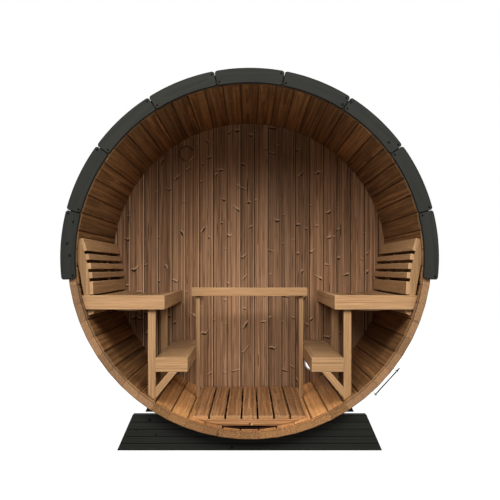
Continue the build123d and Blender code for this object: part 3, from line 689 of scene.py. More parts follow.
@dataclass
class SubAssembly:
    """Pieces that are built together, each kept with its finish."""

    pieces: list[bpy.types.Object] = field(default_factory=list, init=False)

    def build(self) -> None:
        """Build the pieces and dress them."""
        raise NotImplementedError

    @staticmethod
    def node_copy(node: str) -> Mesh:
        """Copy a node's solids as whole faces.

        Args:
            node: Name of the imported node.

        Returns:
            Mesh with its corners merged and its flat faces made whole.
        """
        mesh = bmesh.new()
        mesh.from_mesh(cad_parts[node].data)
        bmesh.ops.remove_doubles(mesh, verts=mesh.verts, dist=MERGE_DISTANCE)
        bmesh.ops.dissolve_limit(mesh, angle_limit=FLAT_ANGLE, verts=mesh.verts, edges=mesh.edges)
        return mesh

    @staticmethod
    def ease(mesh: Mesh, width: float, rule: EdgeRule = convex_and_sharp, clamp: bool = True) -> None:
        """Take the sharp arris off the edges that a rule picks.

        Args:
            mesh: Mesh of the boards.
            width: Width of the eased edge.
            rule: Test that picks the edges.
            clamp: Whether short edges nearby narrow all the eased ones.
        """
        mesh.normal_update()
        mark = mesh.faces.layers.float.get("edge") or mesh.faces.layers.float.new("edge")
        edges = [edge for edge in mesh.edges if rule(edge)]
        eased = bmesh.ops.bevel(mesh, geom=edges, offset=width, offset_type="OFFSET", affect="EDGES",
                                segments=EASE_STEPS, profile=0.5, material=-1, clamp_overlap=clamp)
        # Eased faces are marked: wood draws them paler as wear and painted highlight, paint draws them darker
        # as painted shade
        for face in eased["faces"]:
            face.smooth = True
            face[mark] = EASED_EDGE_MARK

    @staticmethod
    def mark_grain(mesh: Mesh, grain: Grain, seed: str) -> None:
        """Give every board its own grain coordinates, growth rings and tone.

        Args:
            mesh: Mesh of the boards.
            grain: Way that the fibres run.
            seed: Text that the random draws start from.
        """
        draw = random.Random(seed)
        mesh.normal_update()
        own = mesh.verts.layers.float_vector.new("grain")
        rings = mesh.verts.layers.float_vector.new("rings")
        tone = mesh.verts.layers.float.new("tone")
        tip = mesh.faces.layers.float.new("tip")
        start = draw.randint(0, FIRST_BOARDS)
        for number, faces in enumerate(islands(mesh)):
            corners = once(vert for face in faces for vert in face.verts)
            centre = sum((vert.co for vert in corners), Vector()) / len(corners)
            along = grain.direction(faces, centre)
            sides = [face for face in faces if abs(face.normal.dot(along)) < SIDE_ON]
            through = max(sides, key=lambda face: face.calc_area()).normal.copy()
            across = through.cross(along)
            aside = draw.uniform(-PITH_ASIDE, PITH_ASIDE)
            pith = Vector((0.0, aside, draw.choice((-1, 1)) * draw.uniform(*PITH_DEPTHS)))
            shade = draw.random()
            shift = (start + number) * BOARD_SPACING
            for vert in corners:
                place = vert.co - centre
                local = Vector((place.dot(along) + shift, place.dot(across), place.dot(through)))
                vert[own] = local
                vert[rings] = Vector((local.x * RING_PULL_SHARE, local.y, local.z)) + pith
                vert[tone] = shade
            for face in faces:
                face[tip] = float(abs(face.normal.dot(along)) > TIP_ON)

    def keep(self, mesh: Mesh, name: str, finish: Finish, *nodes: str) -> None:
        """Make a finished mesh a piece of the part.

        Args:
            mesh: Finished mesh, in the frame of the part.
            name: Name of the piece.
            finish: Its finish.
            *nodes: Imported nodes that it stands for.
        """
        data = bpy.data.meshes.new(name)
        mesh.to_mesh(data)
        mesh.free()
        piece = bpy.data.objects.new(name, data)
        bpy.context.scene.collection.objects.link(piece)
        data.materials.append(finish.material())
        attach(piece, BODY)
        if nodes:
            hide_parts(*nodes)
        self.pieces.append(piece)

    def boards(self, node: str, finish: Finish, grain: Grain, arris: float,
               seam: FaceRule | None = None) -> None:
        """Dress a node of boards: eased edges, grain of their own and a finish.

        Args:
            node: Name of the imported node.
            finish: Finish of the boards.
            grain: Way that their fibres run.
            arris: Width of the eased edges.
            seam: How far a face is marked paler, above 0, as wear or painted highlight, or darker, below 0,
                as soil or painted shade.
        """
        mesh = self.node_copy(node)
        self.ease(mesh, arris)
        self.dress(mesh, node, finish, grain, seam)

    def dress(self, mesh: Mesh, node: str, finish: Finish, grain: Grain,
              seam: FaceRule | None) -> None:
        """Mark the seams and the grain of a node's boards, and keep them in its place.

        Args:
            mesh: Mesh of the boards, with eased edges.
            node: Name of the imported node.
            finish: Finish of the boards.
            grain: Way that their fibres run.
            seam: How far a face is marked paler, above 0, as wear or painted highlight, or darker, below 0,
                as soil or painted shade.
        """
        if seam:
            mesh.normal_update()
            mark = mesh.faces.layers.float["edge"]
            for face in mesh.faces:
                face[mark] = seam(face) or face[mark]
        self.mark_grain(mesh, grain, node)
        self.keep(mesh, node + "_finished", finish, node)


@dataclass
class StaveShell(SubAssembly):
    """Staves that close the round of the barrel."""

    arris: float = 3.0 * MM
    joint_arris: float = 0.8 * MM
    zones: tuple[str, ...] = ("bottom", "lower_left", "lower_right", "upper_left", "upper_right", "top")
    outside: float = field(default_factory=lambda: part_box("staves_top")[1].z - AXIS_HEIGHT)
    # Painted shade on the inner and outer arris of the stave ends
    end_arris_shade: float = -0.7
    chamfer_soil: float = -0.6
    chamfer_facing: Band = (0.6, 0.9)
    # Painted shadow under the duckboard's front: how far behind the front it starts, and how dark it is out
    # to each distance from the middle
    under_floor_shadow_start: float = 68.0 * MM
    under_floor_shadow: tuple[Band, ...] = ((160.0 * MM, SOILED_OR_SHADED), (265.0 * MM, -0.35))
    floor_end: float = field(default_factory=lambda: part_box("back_wall")[0].y)

    def build(self) -> None:
        """Dress the staves, zone by zone."""
        for zone in self.zones:
            # The bottom staves take the copy of the stave pine with painted light, brighter where the light
            # falls
            finish = FOOT_PINE_PAINTED_LIGHT if zone == "bottom" else STAVE_PINE
            mesh = self.node_copy("staves_" + zone)
            if zone == "bottom":
                self.part_at_under_floor_shadow(mesh)
            self.ease(mesh, self.arris, self.shows_outside)
            self.ease(mesh, self.joint_arris, self.at_joint)
            self.dress(mesh, "staves_" + zone, finish, Grain.ALONG, self.seam)

    def part_at_under_floor_shadow(self, mesh: Mesh) -> None:
        """Cut the inner faces of the staves across where the painted shadow under the duckboard's front
        begins.

        Args:
            mesh: Mesh of the bottom staves.
        """
        faces = [face for face in mesh.faces if self.facing(face) > STRAIGHT]
        edges = once(edge for face in faces for edge in face.edges)
        verts = once(vert for face in faces for vert in face.verts)
        bmesh.ops.bisect_plane(mesh, geom=[*verts, *edges, *faces],
                               plane_co=(0.0, FRONT + self.under_floor_shadow_start, 0.0), plane_no=ALONG)

    @staticmethod
    def facing(face: Face) -> float:
        """Measure how far a face looks at the middle of the barrel, from -1 for its outside to 1."""
        centre = face.calc_center_median()
        return face.normal.dot(Vector((-centre.x, 0.0, AXIS_HEIGHT - centre.z)).normalized())

    @staticmethod
    def at_end(edge: Edge) -> bool:
        """Tell whether an edge lies in the end face of a stave."""
        depths = [vert.co.y for vert in edge.verts]
        return any(max(abs(depth - limit) for depth in depths) < SAME_PLANE for limit in (FRONT, REAR))

    @staticmethod
    def runs_out(edge: Edge) -> bool:
        """Tell whether an edge leads from the inside of the barrel towards the outside.

        Args:
            edge: Edge of a stave.

        Returns:
            True for an edge that changes its distance from the axis.
        """
        first, second = (vert.co for vert in edge.verts)
        outward = Vector((first.x + second.x, 0.0, first.z + second.z - 2 * AXIS_HEIGHT)).normalized()
        return abs((second - first).normalized().dot(outward)) > ASLANT

    def at_joint(self, edge: Edge) -> bool:
        """Tell whether an edge is the end of a joint between two staves."""
        return self.at_end(edge) and self.runs_out(edge) and convex_and_sharp(edge)

    def shows_outside(self, edge: Edge) -> bool:
        """Tell whether an edge runs round the end of a stave or along its outer face.

        Args:
            edge: Edge of a stave.

        Returns:
            True for an outer corner that is eased wide.
        """
        radii = [math.hypot(vert.co.x, vert.co.z - AXIS_HEIGHT) for vert in edge.verts]
        round_end = self.at_end(edge) and not self.runs_out(edge)
        return (round_end or min(radii) > self.outside - self.arris) and convex_and_sharp(edge)

    def seam(self, face: Face) -> float:
        """Soil the chamfers along the joints, darken the eased ends as painted shade, and paint the shadow of
        the duckboard's front on the staves below it.

        Args:
            face: Face of a stave.

        Returns:
            Mark of the face, from soiled or painted shade to unmarked.
        """
        centre, facing = face.calc_center_median(), self.facing(face)
        # Painted shadow: the staves just under the duckboard's front are darkened where its shade falls
        below = facing > -ASLANT and centre.z < AXIS_HEIGHT / 2
        if below and FRONT + self.under_floor_shadow_start < centre.y < self.floor_end:
            for reach, soil in self.under_floor_shadow:
                if abs(centre.x) < reach:
                    return soil
        # Eased stave ends: the inner and outer arris darkened as painted shade, the ends of the joints soiled
        # dark
        if ASLANT < abs(face.normal.y) < END_ON:
            return self.end_arris_shade if abs(facing) > ASLANT else SOILED_OR_SHADED
        if -STRAIGHT < facing < -ASLANT:
            return SOILED_OR_SHADED
        least, most = self.chamfer_facing
        return self.chamfer_soil if least < facing < most else UNMARKED


@dataclass
class BackWall(SubAssembly):
    """Boarded back wall with a covered vent above and a ringed one below."""

    arris: float = 2.5 * MM
    cover_arris: float = 6.0 * MM
    ring_arris: float = 1.0 * MM
    back: float = field(default_factory=lambda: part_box("back_wall")[1].y)
    # Mark of the painted highlight on the lit chamfers of the joints and on the lit rim of the cover
    painted_highlight: float = 0.8
    cover_turn: float = -0.5
    edge_on: Band = (-0.5, 0.2)

    def build(self) -> None:
        """Dress the boards, the cover and the ring."""
        wall = self.node_copy("back_wall")
        self.ease(wall, self.arris, self.on_the_outside, clamp=False)
        self.dress(wall, "back_wall", WALL_PINE, Grain.UPRIGHT, self.seam)
        self.boards("upper_vent_cover", WALL_PINE, Grain.UPRIGHT, self.cover_arris, seam=self.cover_seam)
        ring = self.node_copy("lower_vent_ring")
        self.ease(ring, self.ring_arris)
        self.keep(ring, "lower_vent_ring_finished", VENT_STEEL, "lower_vent_ring")

    def on_the_outside(self, edge: Edge) -> bool:
        """Tell whether an edge is an upright corner on the outer face.

        Args:
            edge: Edge of a wall board.

        Returns:
            True for the edge of a joint that shows from behind.
        """
        outside = all(abs(vert.co.y - self.back) < SAME_PLANE for vert in edge.verts)
        upright = abs(edge.verts[0].co.x - edge.verts[1].co.x) < MERGE_DISTANCE
        return outside and upright and convex_and_sharp(edge)

    def cover_seam(self, face: Face) -> float:
        """Paint shadow on the rim of the cover above and on the left, and a painted highlight on its rim
        below.

        Args:
            face: Face of the cover.

        Returns:
            Mark of the face, from painted shadow to painted highlight.
        """
        if abs(face.normal.y) > END_ON:
            return UNMARKED
        return SOILED_OR_SHADED if face.normal.z - face.normal.x > self.cover_turn else self.painted_highlight

    def seam(self, face: Face) -> float:
        """Paint one chamfer of each joint inside paler as a painted highlight and the other darker as painted
        shade, and soil the joints outside.

        Args:
            face: Face of a wall board.

        Returns:
            Mark of the face, from soiled or painted shade to painted highlight.
        """
        least, most = self.edge_on
        if abs(face.normal.x) < SIDE_ON or least < face.normal.y < most:
            return UNMARKED
        return self.painted_highlight if face.normal.x > 0 > face.normal.y else SOILED_OR_SHADED


@dataclass
class Cradles(SubAssembly):
    """Two cradles stacked from planks."""

    arris: float = 2.0 * MM

    def build(self) -> None:
        """Dress both cradles."""
        for end in ("front", "rear"):
            self.boards(end + "_cradle", CRADLE_STAIN, Grain.ACROSS, self.arris)


@dataclass
class RoofTrims(SubAssembly):
    """Curved trim boards round the top of both ends, with rounded corners and two screws each."""

    count: int = 9
    sweep: float = math.radians(21.55)
    inner: float = 946.0 * MM
    outer: float = field(default_factory=lambda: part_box("front_roof_trim")[1].z - AXIS_HEIGHT)
    gap: float = 2.0 * MM
    corner: float = 15.0 * MM
    corner_steps: int = 6
    arris: float = 3.0 * MM
    steps: int = 14
    screw_inset: float = 17.0 * MM
    screw_radius: float = 6.0 * MM
    screw_height: float = 0.8 * MM

    def build(self) -> None:
        """Build the trims and the screws of both ends."""
        for end in ("front", "rear"):
            node = end + "_roof_trim"
            low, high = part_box(node)
            outward = -1 if end == "front" else 1
            face = low.y + self.screw_height if end == "front" else high.y - self.screw_height
            board_end = high.y if end == "front" else low.y
            mesh = self.curved_boards(face, board_end)
            self.mark_grain(mesh, Grain.AROUND, node)
            self.keep(mesh, node + "_finished", TRIM_PAINT, node)
            places = self.screw_places(face)
            heads = screw_heads(places, ALONG * outward, self.screw_radius, self.screw_height)
            self.keep(heads, end + "_trim_screws", SCREW_STEEL)

    @property
    def half(self) -> float:
        """Half of the angle that one board spans."""
        return self.sweep / 2 - self.gap / 2 / self.outer

    @staticmethod
    def turned(radius: float, angle: float, depth: float) -> Vector:
        """Point at an angle from the top of the barrel, towards the right."""
        return Vector((radius * math.sin(angle), depth, AXIS_HEIGHT + radius * math.cos(angle)))

    def board_turns(self) -> list[float]:
        """Angles of the middles of the boards from the top of the barrel."""
        return [(index - (self.count - 1) / 2) * self.sweep for index in range(self.count)]

    def curved_boards(self, face: float, board_end: float) -> Mesh:
        """Spin one board about the barrel's axis, round its corners and repeat it.

        Args:
            face: Depth of the visible face.
            board_end: Depth of the face against the staves.

        Returns:
            Mesh of all the boards of one end.
        """
        mesh = bmesh.new()
        ends = [mesh.verts.new(self.turned(radius, -self.half, face)) for radius in (self.inner, self.outer)]
        section = [*ends, mesh.edges.new(ends)]
        axis = (0.0, face, AXIS_HEIGHT)
        bmesh.ops.spin(mesh, geom=section, cent=axis, axis=ALONG, angle=2 * self.half, steps=self.steps)
        raised = bmesh.ops.extrude_face_region(mesh, geom=mesh.faces[:])["geom"]
        bmesh.ops.translate(mesh, verts=verts_in(raised), vec=(0.0, board_end - face, 0.0))
        bmesh.ops.recalc_face_normals(mesh, faces=mesh.faces)
        mesh.normal_update()
        corners = [edge for edge in mesh.edges if self.is_corner(edge)]
        bmesh.ops.bevel(mesh, geom=corners, offset=self.corner, affect="EDGES", segments=self.corner_steps,
                        profile=0.5, material=-1)
        self.ease(mesh, self.arris)
        board = mesh.verts[:] + mesh.edges[:] + mesh.faces[:]
        first, *others = self.board_turns()
        for turn in others:
            copy = bmesh.ops.duplicate(mesh, geom=board)["geom"]
            bmesh.ops.rotate(mesh, verts=verts_in(copy), cent=axis, matrix=Matrix.Rotation(turn, 3, "Y"))
        bmesh.ops.rotate(mesh, verts=verts_in(board), cent=axis, matrix=Matrix.Rotation(first, 3, "Y"))
        return mesh

    @staticmethod
    def is_corner(edge: Edge) -> bool:
        """Tell whether an edge runs through the board at one of its four corners.

        Args:
            edge: Edge of a trim board.

        Returns:
            True for an edge to round.
        """
        first, second = (vert.co for vert in edge.verts)
        through = (first - second).normalized().cross(ALONG).length < math.sin(SHARP_ANGLE)
        return through and edge.calc_face_angle() > CORNER_ANGLE

    def screw_places(self, face: float) -> list[Vector]:
        """Place the screws near the inner edge at one end of a board and near the outer at the other.

        Args:
            face: Depth of the visible face.

        Returns:
            Middles of the heads.
        """
        spread = self.half - self.screw_inset / self.outer
        ends = (-spread, self.inner + self.screw_inset), (spread, self.outer - self.screw_inset)
        return [self.turned(radius, turn + angle, face)
                for turn in self.board_turns() for angle, radius in ends]


@dataclass
class Roof(SubAssembly):
    """Felt over the upper staves, laid as shingles from both eaves up to a cap on the ridge."""

    courses: int = 13
    tabs: int = 6
    lap: float = 26.0 * MM
    tab_gap: float = 7.0 * MM
    thickness: float = 3.5 * MM
    lift: float = 4.5 * MM
    cuts: int = 2
    end_gap: float = 1.5 * MM
    cap_half: float = 75.0 * MM

    def build(self) -> None:
        """Dress the covering and lay the shingles on it."""
        mesh = self.node_copy("roof_covering")
        low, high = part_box("roof_covering")
        self.keep(mesh, "roof_covering_finished", ROOF_FELT, "roof_covering")
        eave = math.pi / 2 + math.asin((AXIS_HEIGHT - low.z) / (high.x - low.x) * 2)
        self.keep(self.shingles(high.z - AXIS_HEIGHT, eave), "roof_shingles", ROOF_FELT)

    def shingles(self, radius: float, eave: float) -> Mesh:
        """Lay the tabs course by course, every other course half a tab along.

        Args:
            radius: Distance from the barrel's axis to the top of the covering.
            eave: Angle of the eaves from the top of the barrel.

        Returns:
            Mesh of all the tabs, each with a tone of its own.
        """
        draw = random.Random("roof_shingles")
        mesh = bmesh.new()
        length = REAR - FRONT - 2 * self.end_gap
        pitch = length / self.tabs
        step = (eave - self.cap_half / radius) / self.courses
        height = radius * step + self.lap
        start = FRONT + self.end_gap
        for course in range(self.courses):
            staggered = course % 2
            for index in range(self.tabs + staggered):
                near = max(start + (index - staggered / 2) * pitch, start)
                far = min(start + (index + 1 - staggered / 2) * pitch, start + length) - self.tab_gap
                for side in Side:
                    turn = side.sign * (eave - step * course - height / 2 / radius)
                    lie = height, radius, turn, side.sign * self.lift
                    self.add_tab(mesh, (near, far), lie, draw.random())
        for index in range(self.tabs):
            near = start + index * pitch
            cap = 2 * self.cap_half, radius + self.lift, 0.0, 0.0
            self.add_tab(mesh, (near, near + pitch - self.tab_gap), cap, draw.random())
        return mesh

    def add_tab(self, mesh: Mesh, span: Band, lie: tuple[float, ...], shade: float) -> None:
        """Lay one tab, its lower edge lifted over the course below.

        Args:
            mesh: Mesh of the shingles.
            span: Depths of its two ends.
            lie: Its size up the slope, the radius and angle that it lies at, and its edge's lift towards +x.
            shade: Tone of the tab.
        """
        height, radius, turn, lift = lie
        tone = mesh.verts.layers.float.get("tone") or mesh.verts.layers.float.new("tone")
        before = len(mesh.verts)
        cube = bmesh.ops.create_cube(mesh, size=1.0)["verts"]
        bmesh.ops.scale(mesh, verts=cube, vec=(height, span[1] - span[0], self.thickness))
        rising = once(edge for vert in cube for edge in vert.link_edges if self.runs_up(edge))
        bmesh.ops.subdivide_edges(mesh, edges=rising, cuts=self.cuts)
        verts = mesh.verts[before:]
        for vert in verts:
            vert.co.z += vert.co.x * lift / height - vert.co.x ** 2 / 2 / radius
            vert[tone] = shade
        middle = radius + (self.thickness + self.lift) / 2
        bmesh.ops.translate(mesh, verts=verts, vec=(0.0, sum(span) / 2, middle))
        bmesh.ops.rotate(mesh, verts=verts, cent=ORIGIN, matrix=Matrix.Rotation(turn, 3, "Y"))
        bmesh.ops.translate(mesh, verts=verts, vec=UP * AXIS_HEIGHT)

    @staticmethod
    def runs_up(edge: Edge) -> bool:
        """Tell whether an edge of an unplaced tab runs up the slope."""
        return abs(edge.verts[0].co.x - edge.verts[1].co.x) > MERGE_DISTANCE


@dataclass
class TensionBands(SubAssembly):
    """Steel bands round the staves and the bolts that draw them tight."""

    angle: float = math.radians(47.5)
    reach: float = 1019.0 * MM
    bolt_radius: float = 4.0 * MM
    thread_depth: float = 0.7 * MM
    thread_pitch: float = 2.5 * MM
    tab_start: float = 82.0 * MM
    tab_thickness: float = 3.0 * MM
    tail: float = 24.0 * MM
    nut_width: float = 13.0 * MM
    nut_height: float = 7.0 * MM
    nut_corners: int = 6
    nut_arris: float = 0.6 * MM
    turn_steps: int = 16
    washer_radius: float = 8.5 * MM
    washer_height: float = 1.6 * MM

    def build(self) -> None:
        """Dress the bands and build their bolts."""
        bands = self.node_copy("tension_bands")
        self.keep(bands, "tension_bands_finished", BAND_STEEL, "tension_bands")
        low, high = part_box("band_bolts")
        rows = low.y + self.nut_radius, high.y - self.nut_radius
        rod = bmesh.new()
        washers = bmesh.new()
        self.add_turned(rod, self.thread_profile(-self.outside, self.outside + self.tail))
        for direction in (-1, 1):
            start = direction * self.outside
            flat, nut = start + direction * self.washer_height, start + direction * self.nut_height
            self.add_hexagon(rod, flat, nut)
            disc = (start, 0.0), (start, self.washer_radius), (flat, self.washer_radius), (flat, 0.0)
            self.add_turned(washers, disc)
        self.keep(self.placed(rod, rows), "band_bolts_finished", ROD_STEEL, "band_bolts")
        self.keep(self.placed(washers, rows), "band_bolt_washers", BAND_STEEL)

    @property
    def outside(self) -> float:
        """Distance from the middle of a bolt to the outer face of its tab."""
        return self.tab_start + self.tab_thickness

    @property
    def nut_radius(self) -> float:
        """Distance from the middle of a nut to its corners."""
        return self.nut_width / math.sqrt(3)

    def placed(self, mesh: Mesh, rows: Sequence[float]) -> Mesh:
        """Put a bolt that lies along x in its tabs, and repeat it in the next band.

        Args:
            mesh: Mesh about the origin.
            rows: Depths of the two bands' bolts.

        Returns:
            The same mesh, closed and in its two places.
        """
        bmesh.ops.remove_doubles(mesh, verts=mesh.verts, dist=MERGE_DISTANCE)
        bmesh.ops.recalc_face_normals(mesh, faces=mesh.faces)
        bmesh.ops.translate(mesh, verts=mesh.verts, vec=(0.0, rows[0], -self.reach))
        bmesh.ops.rotate(mesh, verts=mesh.verts, cent=ORIGIN, matrix=Matrix.Rotation(-self.angle, 3, "Y"))
        bmesh.ops.translate(mesh, verts=mesh.verts, vec=UP * AXIS_HEIGHT)
        copy = bmesh.ops.duplicate(mesh, geom=mesh.verts[:] + mesh.edges[:] + mesh.faces[:])["geom"]
        bmesh.ops.translate(mesh, verts=verts_in(copy), vec=ALONG * (rows[1] - rows[0]))
        return mesh

    def thread_profile(self, start: float, end: float) -> list[Band]:
        """Outline of the threaded shank, as places along the bolt and radii.

        Args:
            start: Place of the shank's end in the head.
            end: Place of its free end.

        Returns:
            Points from one end of the axis to the other.
        """
        root = self.bolt_radius - self.thread_depth
        points = [(start, 0.0), (start, root)]
        for crest in range(int((end - start) / self.thread_pitch)):
            place = start + (crest + 0.5) * self.thread_pitch
            points += [(place, self.bolt_radius), (place + self.thread_pitch / 2, root)]
        return [*points, (end, root), (end, 0.0)]

    def add_turned(self, mesh: Mesh, profile: Sequence[Band]) -> None:
        """Spin an outline about the bolt's axis.

        Args:
            mesh: Mesh to add to.
            profile: Places along the axis and radii.
        """
        verts = [mesh.verts.new((place, 0.0, radius)) for place, radius in profile]
        edges = [mesh.edges.new(pair) for pair in zip(verts, verts[1:])]
        bmesh.ops.spin(mesh, geom=verts + edges, cent=ORIGIN, axis=RIGHT, angle=math.tau,
                       steps=self.turn_steps, use_merge=True)

    def add_hexagon(self, mesh: Mesh, start: float, end: float) -> None:
        """Set a hexagon nut or head between two places along the bolt.

        Args:
            mesh: Mesh to add to.
            start: Place of its inner face.
            end: Place of its outer face.
        """
        lie = Matrix.Translation(((start + end) / 2, 0.0, 0.0)) @ Matrix.Rotation(math.pi / 2, 4, "Y")
        made = bmesh.ops.create_cone(mesh, cap_ends=True, segments=self.nut_corners, radius1=self.nut_radius,
                                     radius2=self.nut_radius, depth=abs(end - start), matrix=lie)
        edges = once(edge for vert in made["verts"] for edge in vert.link_edges)
        bmesh.ops.bevel(mesh, geom=edges, offset=self.nut_arris, affect="EDGES", segments=1, profile=0.5,
                        material=-1)


@dataclass
class Duckboard(SubAssembly):
    """Slatted floor on cross joists."""

    arris: float = 2.5 * MM
    count: int = 7
    joist: float = 28.0 * MM
    screw_spread: float = 24.0 * MM
    screw_radius: float = 3.5 * MM
    screw_height: float = 0.6 * MM
    slot_side: float = 0.8
    # Painted shade on the undersides of the joists, which darkens the gap under the duckboard's front
    under_shade: ShadeRule = ShadeRule(-UP, ASLANT, both=False)

    def build(self) -> None:
        """Dress the boards and the joists, and screw them together."""
        self.boards("floor_boards", FLOOR_PINE, Grain.ALONG, self.arris, seam=self.seam)
        self.boards("floor_joists", FLOOR_PINE, Grain.ACROSS, self.arris, seam=self.under_shade)
        heads = screw_heads(self.screw_places(), UP, self.screw_radius, self.screw_height)
        self.keep(heads, "floor_screws", SCREW_STEEL)

    def seam(self, face: Face) -> float:
        """Darken the sides of the boards, down in the slots, as painted shade."""
        side = abs(face.normal.x)
        return -side if side > self.slot_side else UNMARKED

    def screw_places(self) -> list[Vector]:
        """Place two screws on every board over every joist.

        Returns:
            Middles of the heads.
        """
        low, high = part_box("floor_boards")
        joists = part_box("floor_joists")
        middle = (joists[0].y + joists[1].y) / 2
        rows = joists[0].y + self.joist / 2, middle, joists[1].y - self.joist / 2
        pitch = (high.x - low.x) / self.count
        places = []
        for index in range(self.count):
            board = low.x + (index + 0.5) * pitch
            places += [Vector((board + side.sign * self.screw_spread, row, high.z))
                       for row in rows for side in Side]
        return places


@dataclass
class HeaterGuard(SubAssembly):
    """Rail, posts and side rails round the place of the heater."""

    arris: float = 3.0 * MM

    def build(self) -> None:
        """Dress the rail, the posts and the side rails."""
        for name, grain in (("rail", Grain.ACROSS), ("posts", Grain.UPRIGHT), ("side_rails", Grain.ALONG)):
            self.boards("heater_guard_" + name, BENCH_ALDER, grain, self.arris)


@dataclass
class Bench(SubAssembly):
    """Bench of one side with its backrest, its posts and the step below it."""

    side: Side = Side.LEFT
    arris: float = 3.0 * MM

    def build(self) -> None:
        """Dress the boards of the bench, the step and the backrest."""
        grains = {
            "bench_front_board": Grain.ACROSS, "bench_rail": Grain.ALONG, "seat_slats": Grain.ALONG,
            "bench_bearers": Grain.ACROSS, "bench_posts": Grain.UPRIGHT, "step_front_board": Grain.ACROSS,
            "step_rails": Grain.ALONG, "step_treads": Grain.ACROSS, "step_braces": Grain.LONGEST,
            "backrest_slats": Grain.ALONG, "backrest_supports": Grain.UPRIGHT,
        }
        # Painted shade darkens the undersides of the backrest's slats and the sides of the treads and seat
        # slats, so that the gaps between them look dark
        seams = {
            "backrest_slats": ShadeRule(-UP, 0.6, both=False), "step_treads": ShadeRule(ALONG, 0.6),
            "seat_slats": ShadeRule(RIGHT, 0.8),
        }
        for name, grain in grains.items():
            self.boards(f"{self.side.value}_{name}", BENCH_ALDER, grain, self.arris, seam=seams.get(name))


@dataclass
class BenchFixings(SubAssembly):
    """Cleats and bearers that carry the benches and steps on both sides."""

    arris: float = 2.0 * MM

    def build(self) -> None:
        """Dress the cleats and the bearers."""
        self.boards("bench_cleats", BENCH_ALDER, Grain.ALONG, self.arris)
        self.boards("step_bearers", BENCH_ALDER, Grain.ACROSS, self.arris)


@dataclass(frozen=True)
class Softbox:
    """Large soft lamp that looks at a point of the part."""

    name: str
    place: Point
    aim: Point
    size: Band
    watts: float

    def hang(self, scene: Scene) -> None:
        """Add the lamp to the scene.

        Args:
            scene: Scene to light.
        """
        lamp = bpy.data.lights.new(self.name, "AREA")
        lamp.shape = "RECTANGLE"
        lamp.size, lamp.size_y = self.size
        lamp.energy = self.watts
        softbox = bpy.data.objects.new(self.name, lamp)
        softbox.location = self.place
        softbox.rotation_euler = (Vector(self.aim) - softbox.location).to_track_quat("-Z", "Y").to_euler()
        scene.collection.objects.link(softbox)


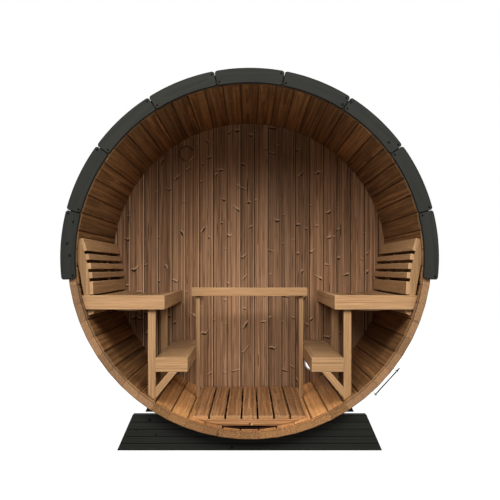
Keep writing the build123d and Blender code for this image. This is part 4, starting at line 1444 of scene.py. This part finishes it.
@dataclass
class Studio:
    """Pale floor, soft light and the camera of the photograph."""

    camera_place: Point = (0.0, -5.35, 1.0072)
    focal_mm: float = 60.8
    sensor_mm: float = 36.0
    shift: Band = (0.0008, 0.038)
    floor_half: float = 40.0
    paper: tuple[str, str] = ("#8f8f8e", "#959594")
    mottle_mm: float = 1000 / 3
    veil: str = "#8a8a8a"
    glow_reach: Band = (1.5, 4.0)
    least_glow: float = 0.86
    fill_level: float = 0.012
    softboxes: tuple[Softbox, ...] = (
        Softbox("wide_softbox", (0.0, -4.5, 3.65), (0.0, 0.0, 0.6), (8.0, 2.2), 480.0),
        Softbox("left_softbox", (-4.5, 3.6, 3.4), (0.0, 0.3, 1.0), (2.5, 2.5), 300.0),
        Softbox("right_softbox", (4.5, 3.6, 3.4), (0.0, 0.3, 1.0), (2.5, 2.5), 300.0),
    )

    def build(self) -> None:
        """Set up the view, the floor and the light."""
        scene = bpy.context.scene
        scene.view_settings.view_transform = "Standard"
        self.add_camera(scene)
        self.add_floor(scene)
        for softbox in self.softboxes:
            softbox.hang(scene)
        self.add_world(scene)

    def add_camera(self, scene: Scene) -> None:
        """Put the camera level in front of the open end.

        Args:
            scene: Scene to look at.
        """
        lens = bpy.data.cameras.new("camera")
        lens.lens = self.focal_mm
        lens.sensor_width = self.sensor_mm
        lens.shift_x, lens.shift_y = self.shift
        camera = bpy.data.objects.new("camera", lens)
        camera.location = self.camera_place
        camera.rotation_euler = (math.pi / 2, 0.0, 0.0)
        scene.collection.objects.link(camera)
        scene.camera = camera

    def add_floor(self, scene: Scene) -> None:
        """Lay a wide pale floor that shows white but keeps the shadow.

        Args:
            scene: Scene to add the floor to.
        """
        mesh = bmesh.new()
        bmesh.ops.create_grid(mesh, x_segments=1, y_segments=1, size=self.floor_half)
        data = bpy.data.meshes.new("studio_floor")
        mesh.to_mesh(data)
        mesh.free()
        floor = bpy.data.objects.new("studio_floor", data)
        scene.collection.objects.link(floor)
        recipe = Recipe(bpy.data.materials.new("studio_floor_paper"))
        place = recipe.add("TexCoord")["Object"]
        mottle = recipe.add("TexNoise", {"Vector": place, "Scale": 1 / (self.mottle_mm * MM),
                                         "Detail": 2.0})[0]
        greys = {0: mottle, 6: linear(self.paper[0]), 7: linear(self.paper[1])}
        paper = recipe.add("Mix", greys, data_type="RGBA")[2]
        matt = recipe.add("BsdfDiffuse", {"Color": paper})[0]
        veil = recipe.add("BsdfDiffuse", {"Color": linear(self.veil)})[0]
        distance = recipe.add("VectorMath", {0: place}, operation="LENGTH")["Value"]
        near, far = self.glow_reach
        bright = recipe.add("MapRange", {"Value": distance, "From Min": near, "From Max": far,
                                         "To Min": self.least_glow}, interpolation_type="SMOOTHSTEP")[0]
        glow = recipe.add("Emission", {"Color": WHITE, "Strength": bright})[0]
        seen = recipe.add("AddShader", {0: veil, 1: glow})[0]
        self.show_to_camera(recipe, matt, seen, "OutputMaterial")
        data.materials.append(recipe.owner)

    def add_world(self, scene: Scene) -> None:
        """Fill with even light, and show white behind the part.

        Args:
            scene: Scene to light.
        """
        world = bpy.data.worlds.new("studio_light")
        recipe = Recipe(world)
        fill = recipe.add("Background", {"Color": WHITE, "Strength": self.fill_level})[0]
        white = recipe.add("Background", {"Color": WHITE, "Strength": 1.0})[0]
        self.show_to_camera(recipe, fill, white, "OutputWorld")
        scene.world = world

    @staticmethod
    def show_to_camera(recipe: Recipe, lit: Socket, seen: Socket, output: str) -> None:
        """Send one shader to the rays that look, and another to those that carry light.

        Args:
            recipe: Node tree to add to.
            lit: Shader for the rays that carry light.
            seen: Shader for camera, glossy and transmission rays.
            output: Kind of the output node.
        """
        rays = recipe.add("LightPath")
        looks = rays["Is Camera Ray"]
        for kind in ("Is Glossy Ray", "Is Transmission Ray"):
            looks = recipe.add("Math", {0: looks, 1: rays[kind]}, operation="MAXIMUM")[0]
        shader = recipe.add("MixShader", {0: looks, 1: lit, 2: seen})[0]
        recipe.add(output, {"Surface": shader})


def main() -> None:
    """Build every sub-assembly and report its pieces."""
    logging.basicConfig(level=logging.INFO, format="%(name)s: %(message)s")
    Studio().build()
    assemblies = [StaveShell(), BackWall(), RoofTrims(), Roof(), TensionBands(), Cradles(), Duckboard(),
                  HeaterGuard(), Bench(side=Side.LEFT), Bench(side=Side.RIGHT), BenchFixings()]
    for assembly in assemblies:
        assembly.build()
        for piece in assembly.pieces:
            log.info("%s: %s with %d faces", type(assembly).__name__, piece.name, len(piece.data.polygons))


if __name__ == "__main__":
    main()
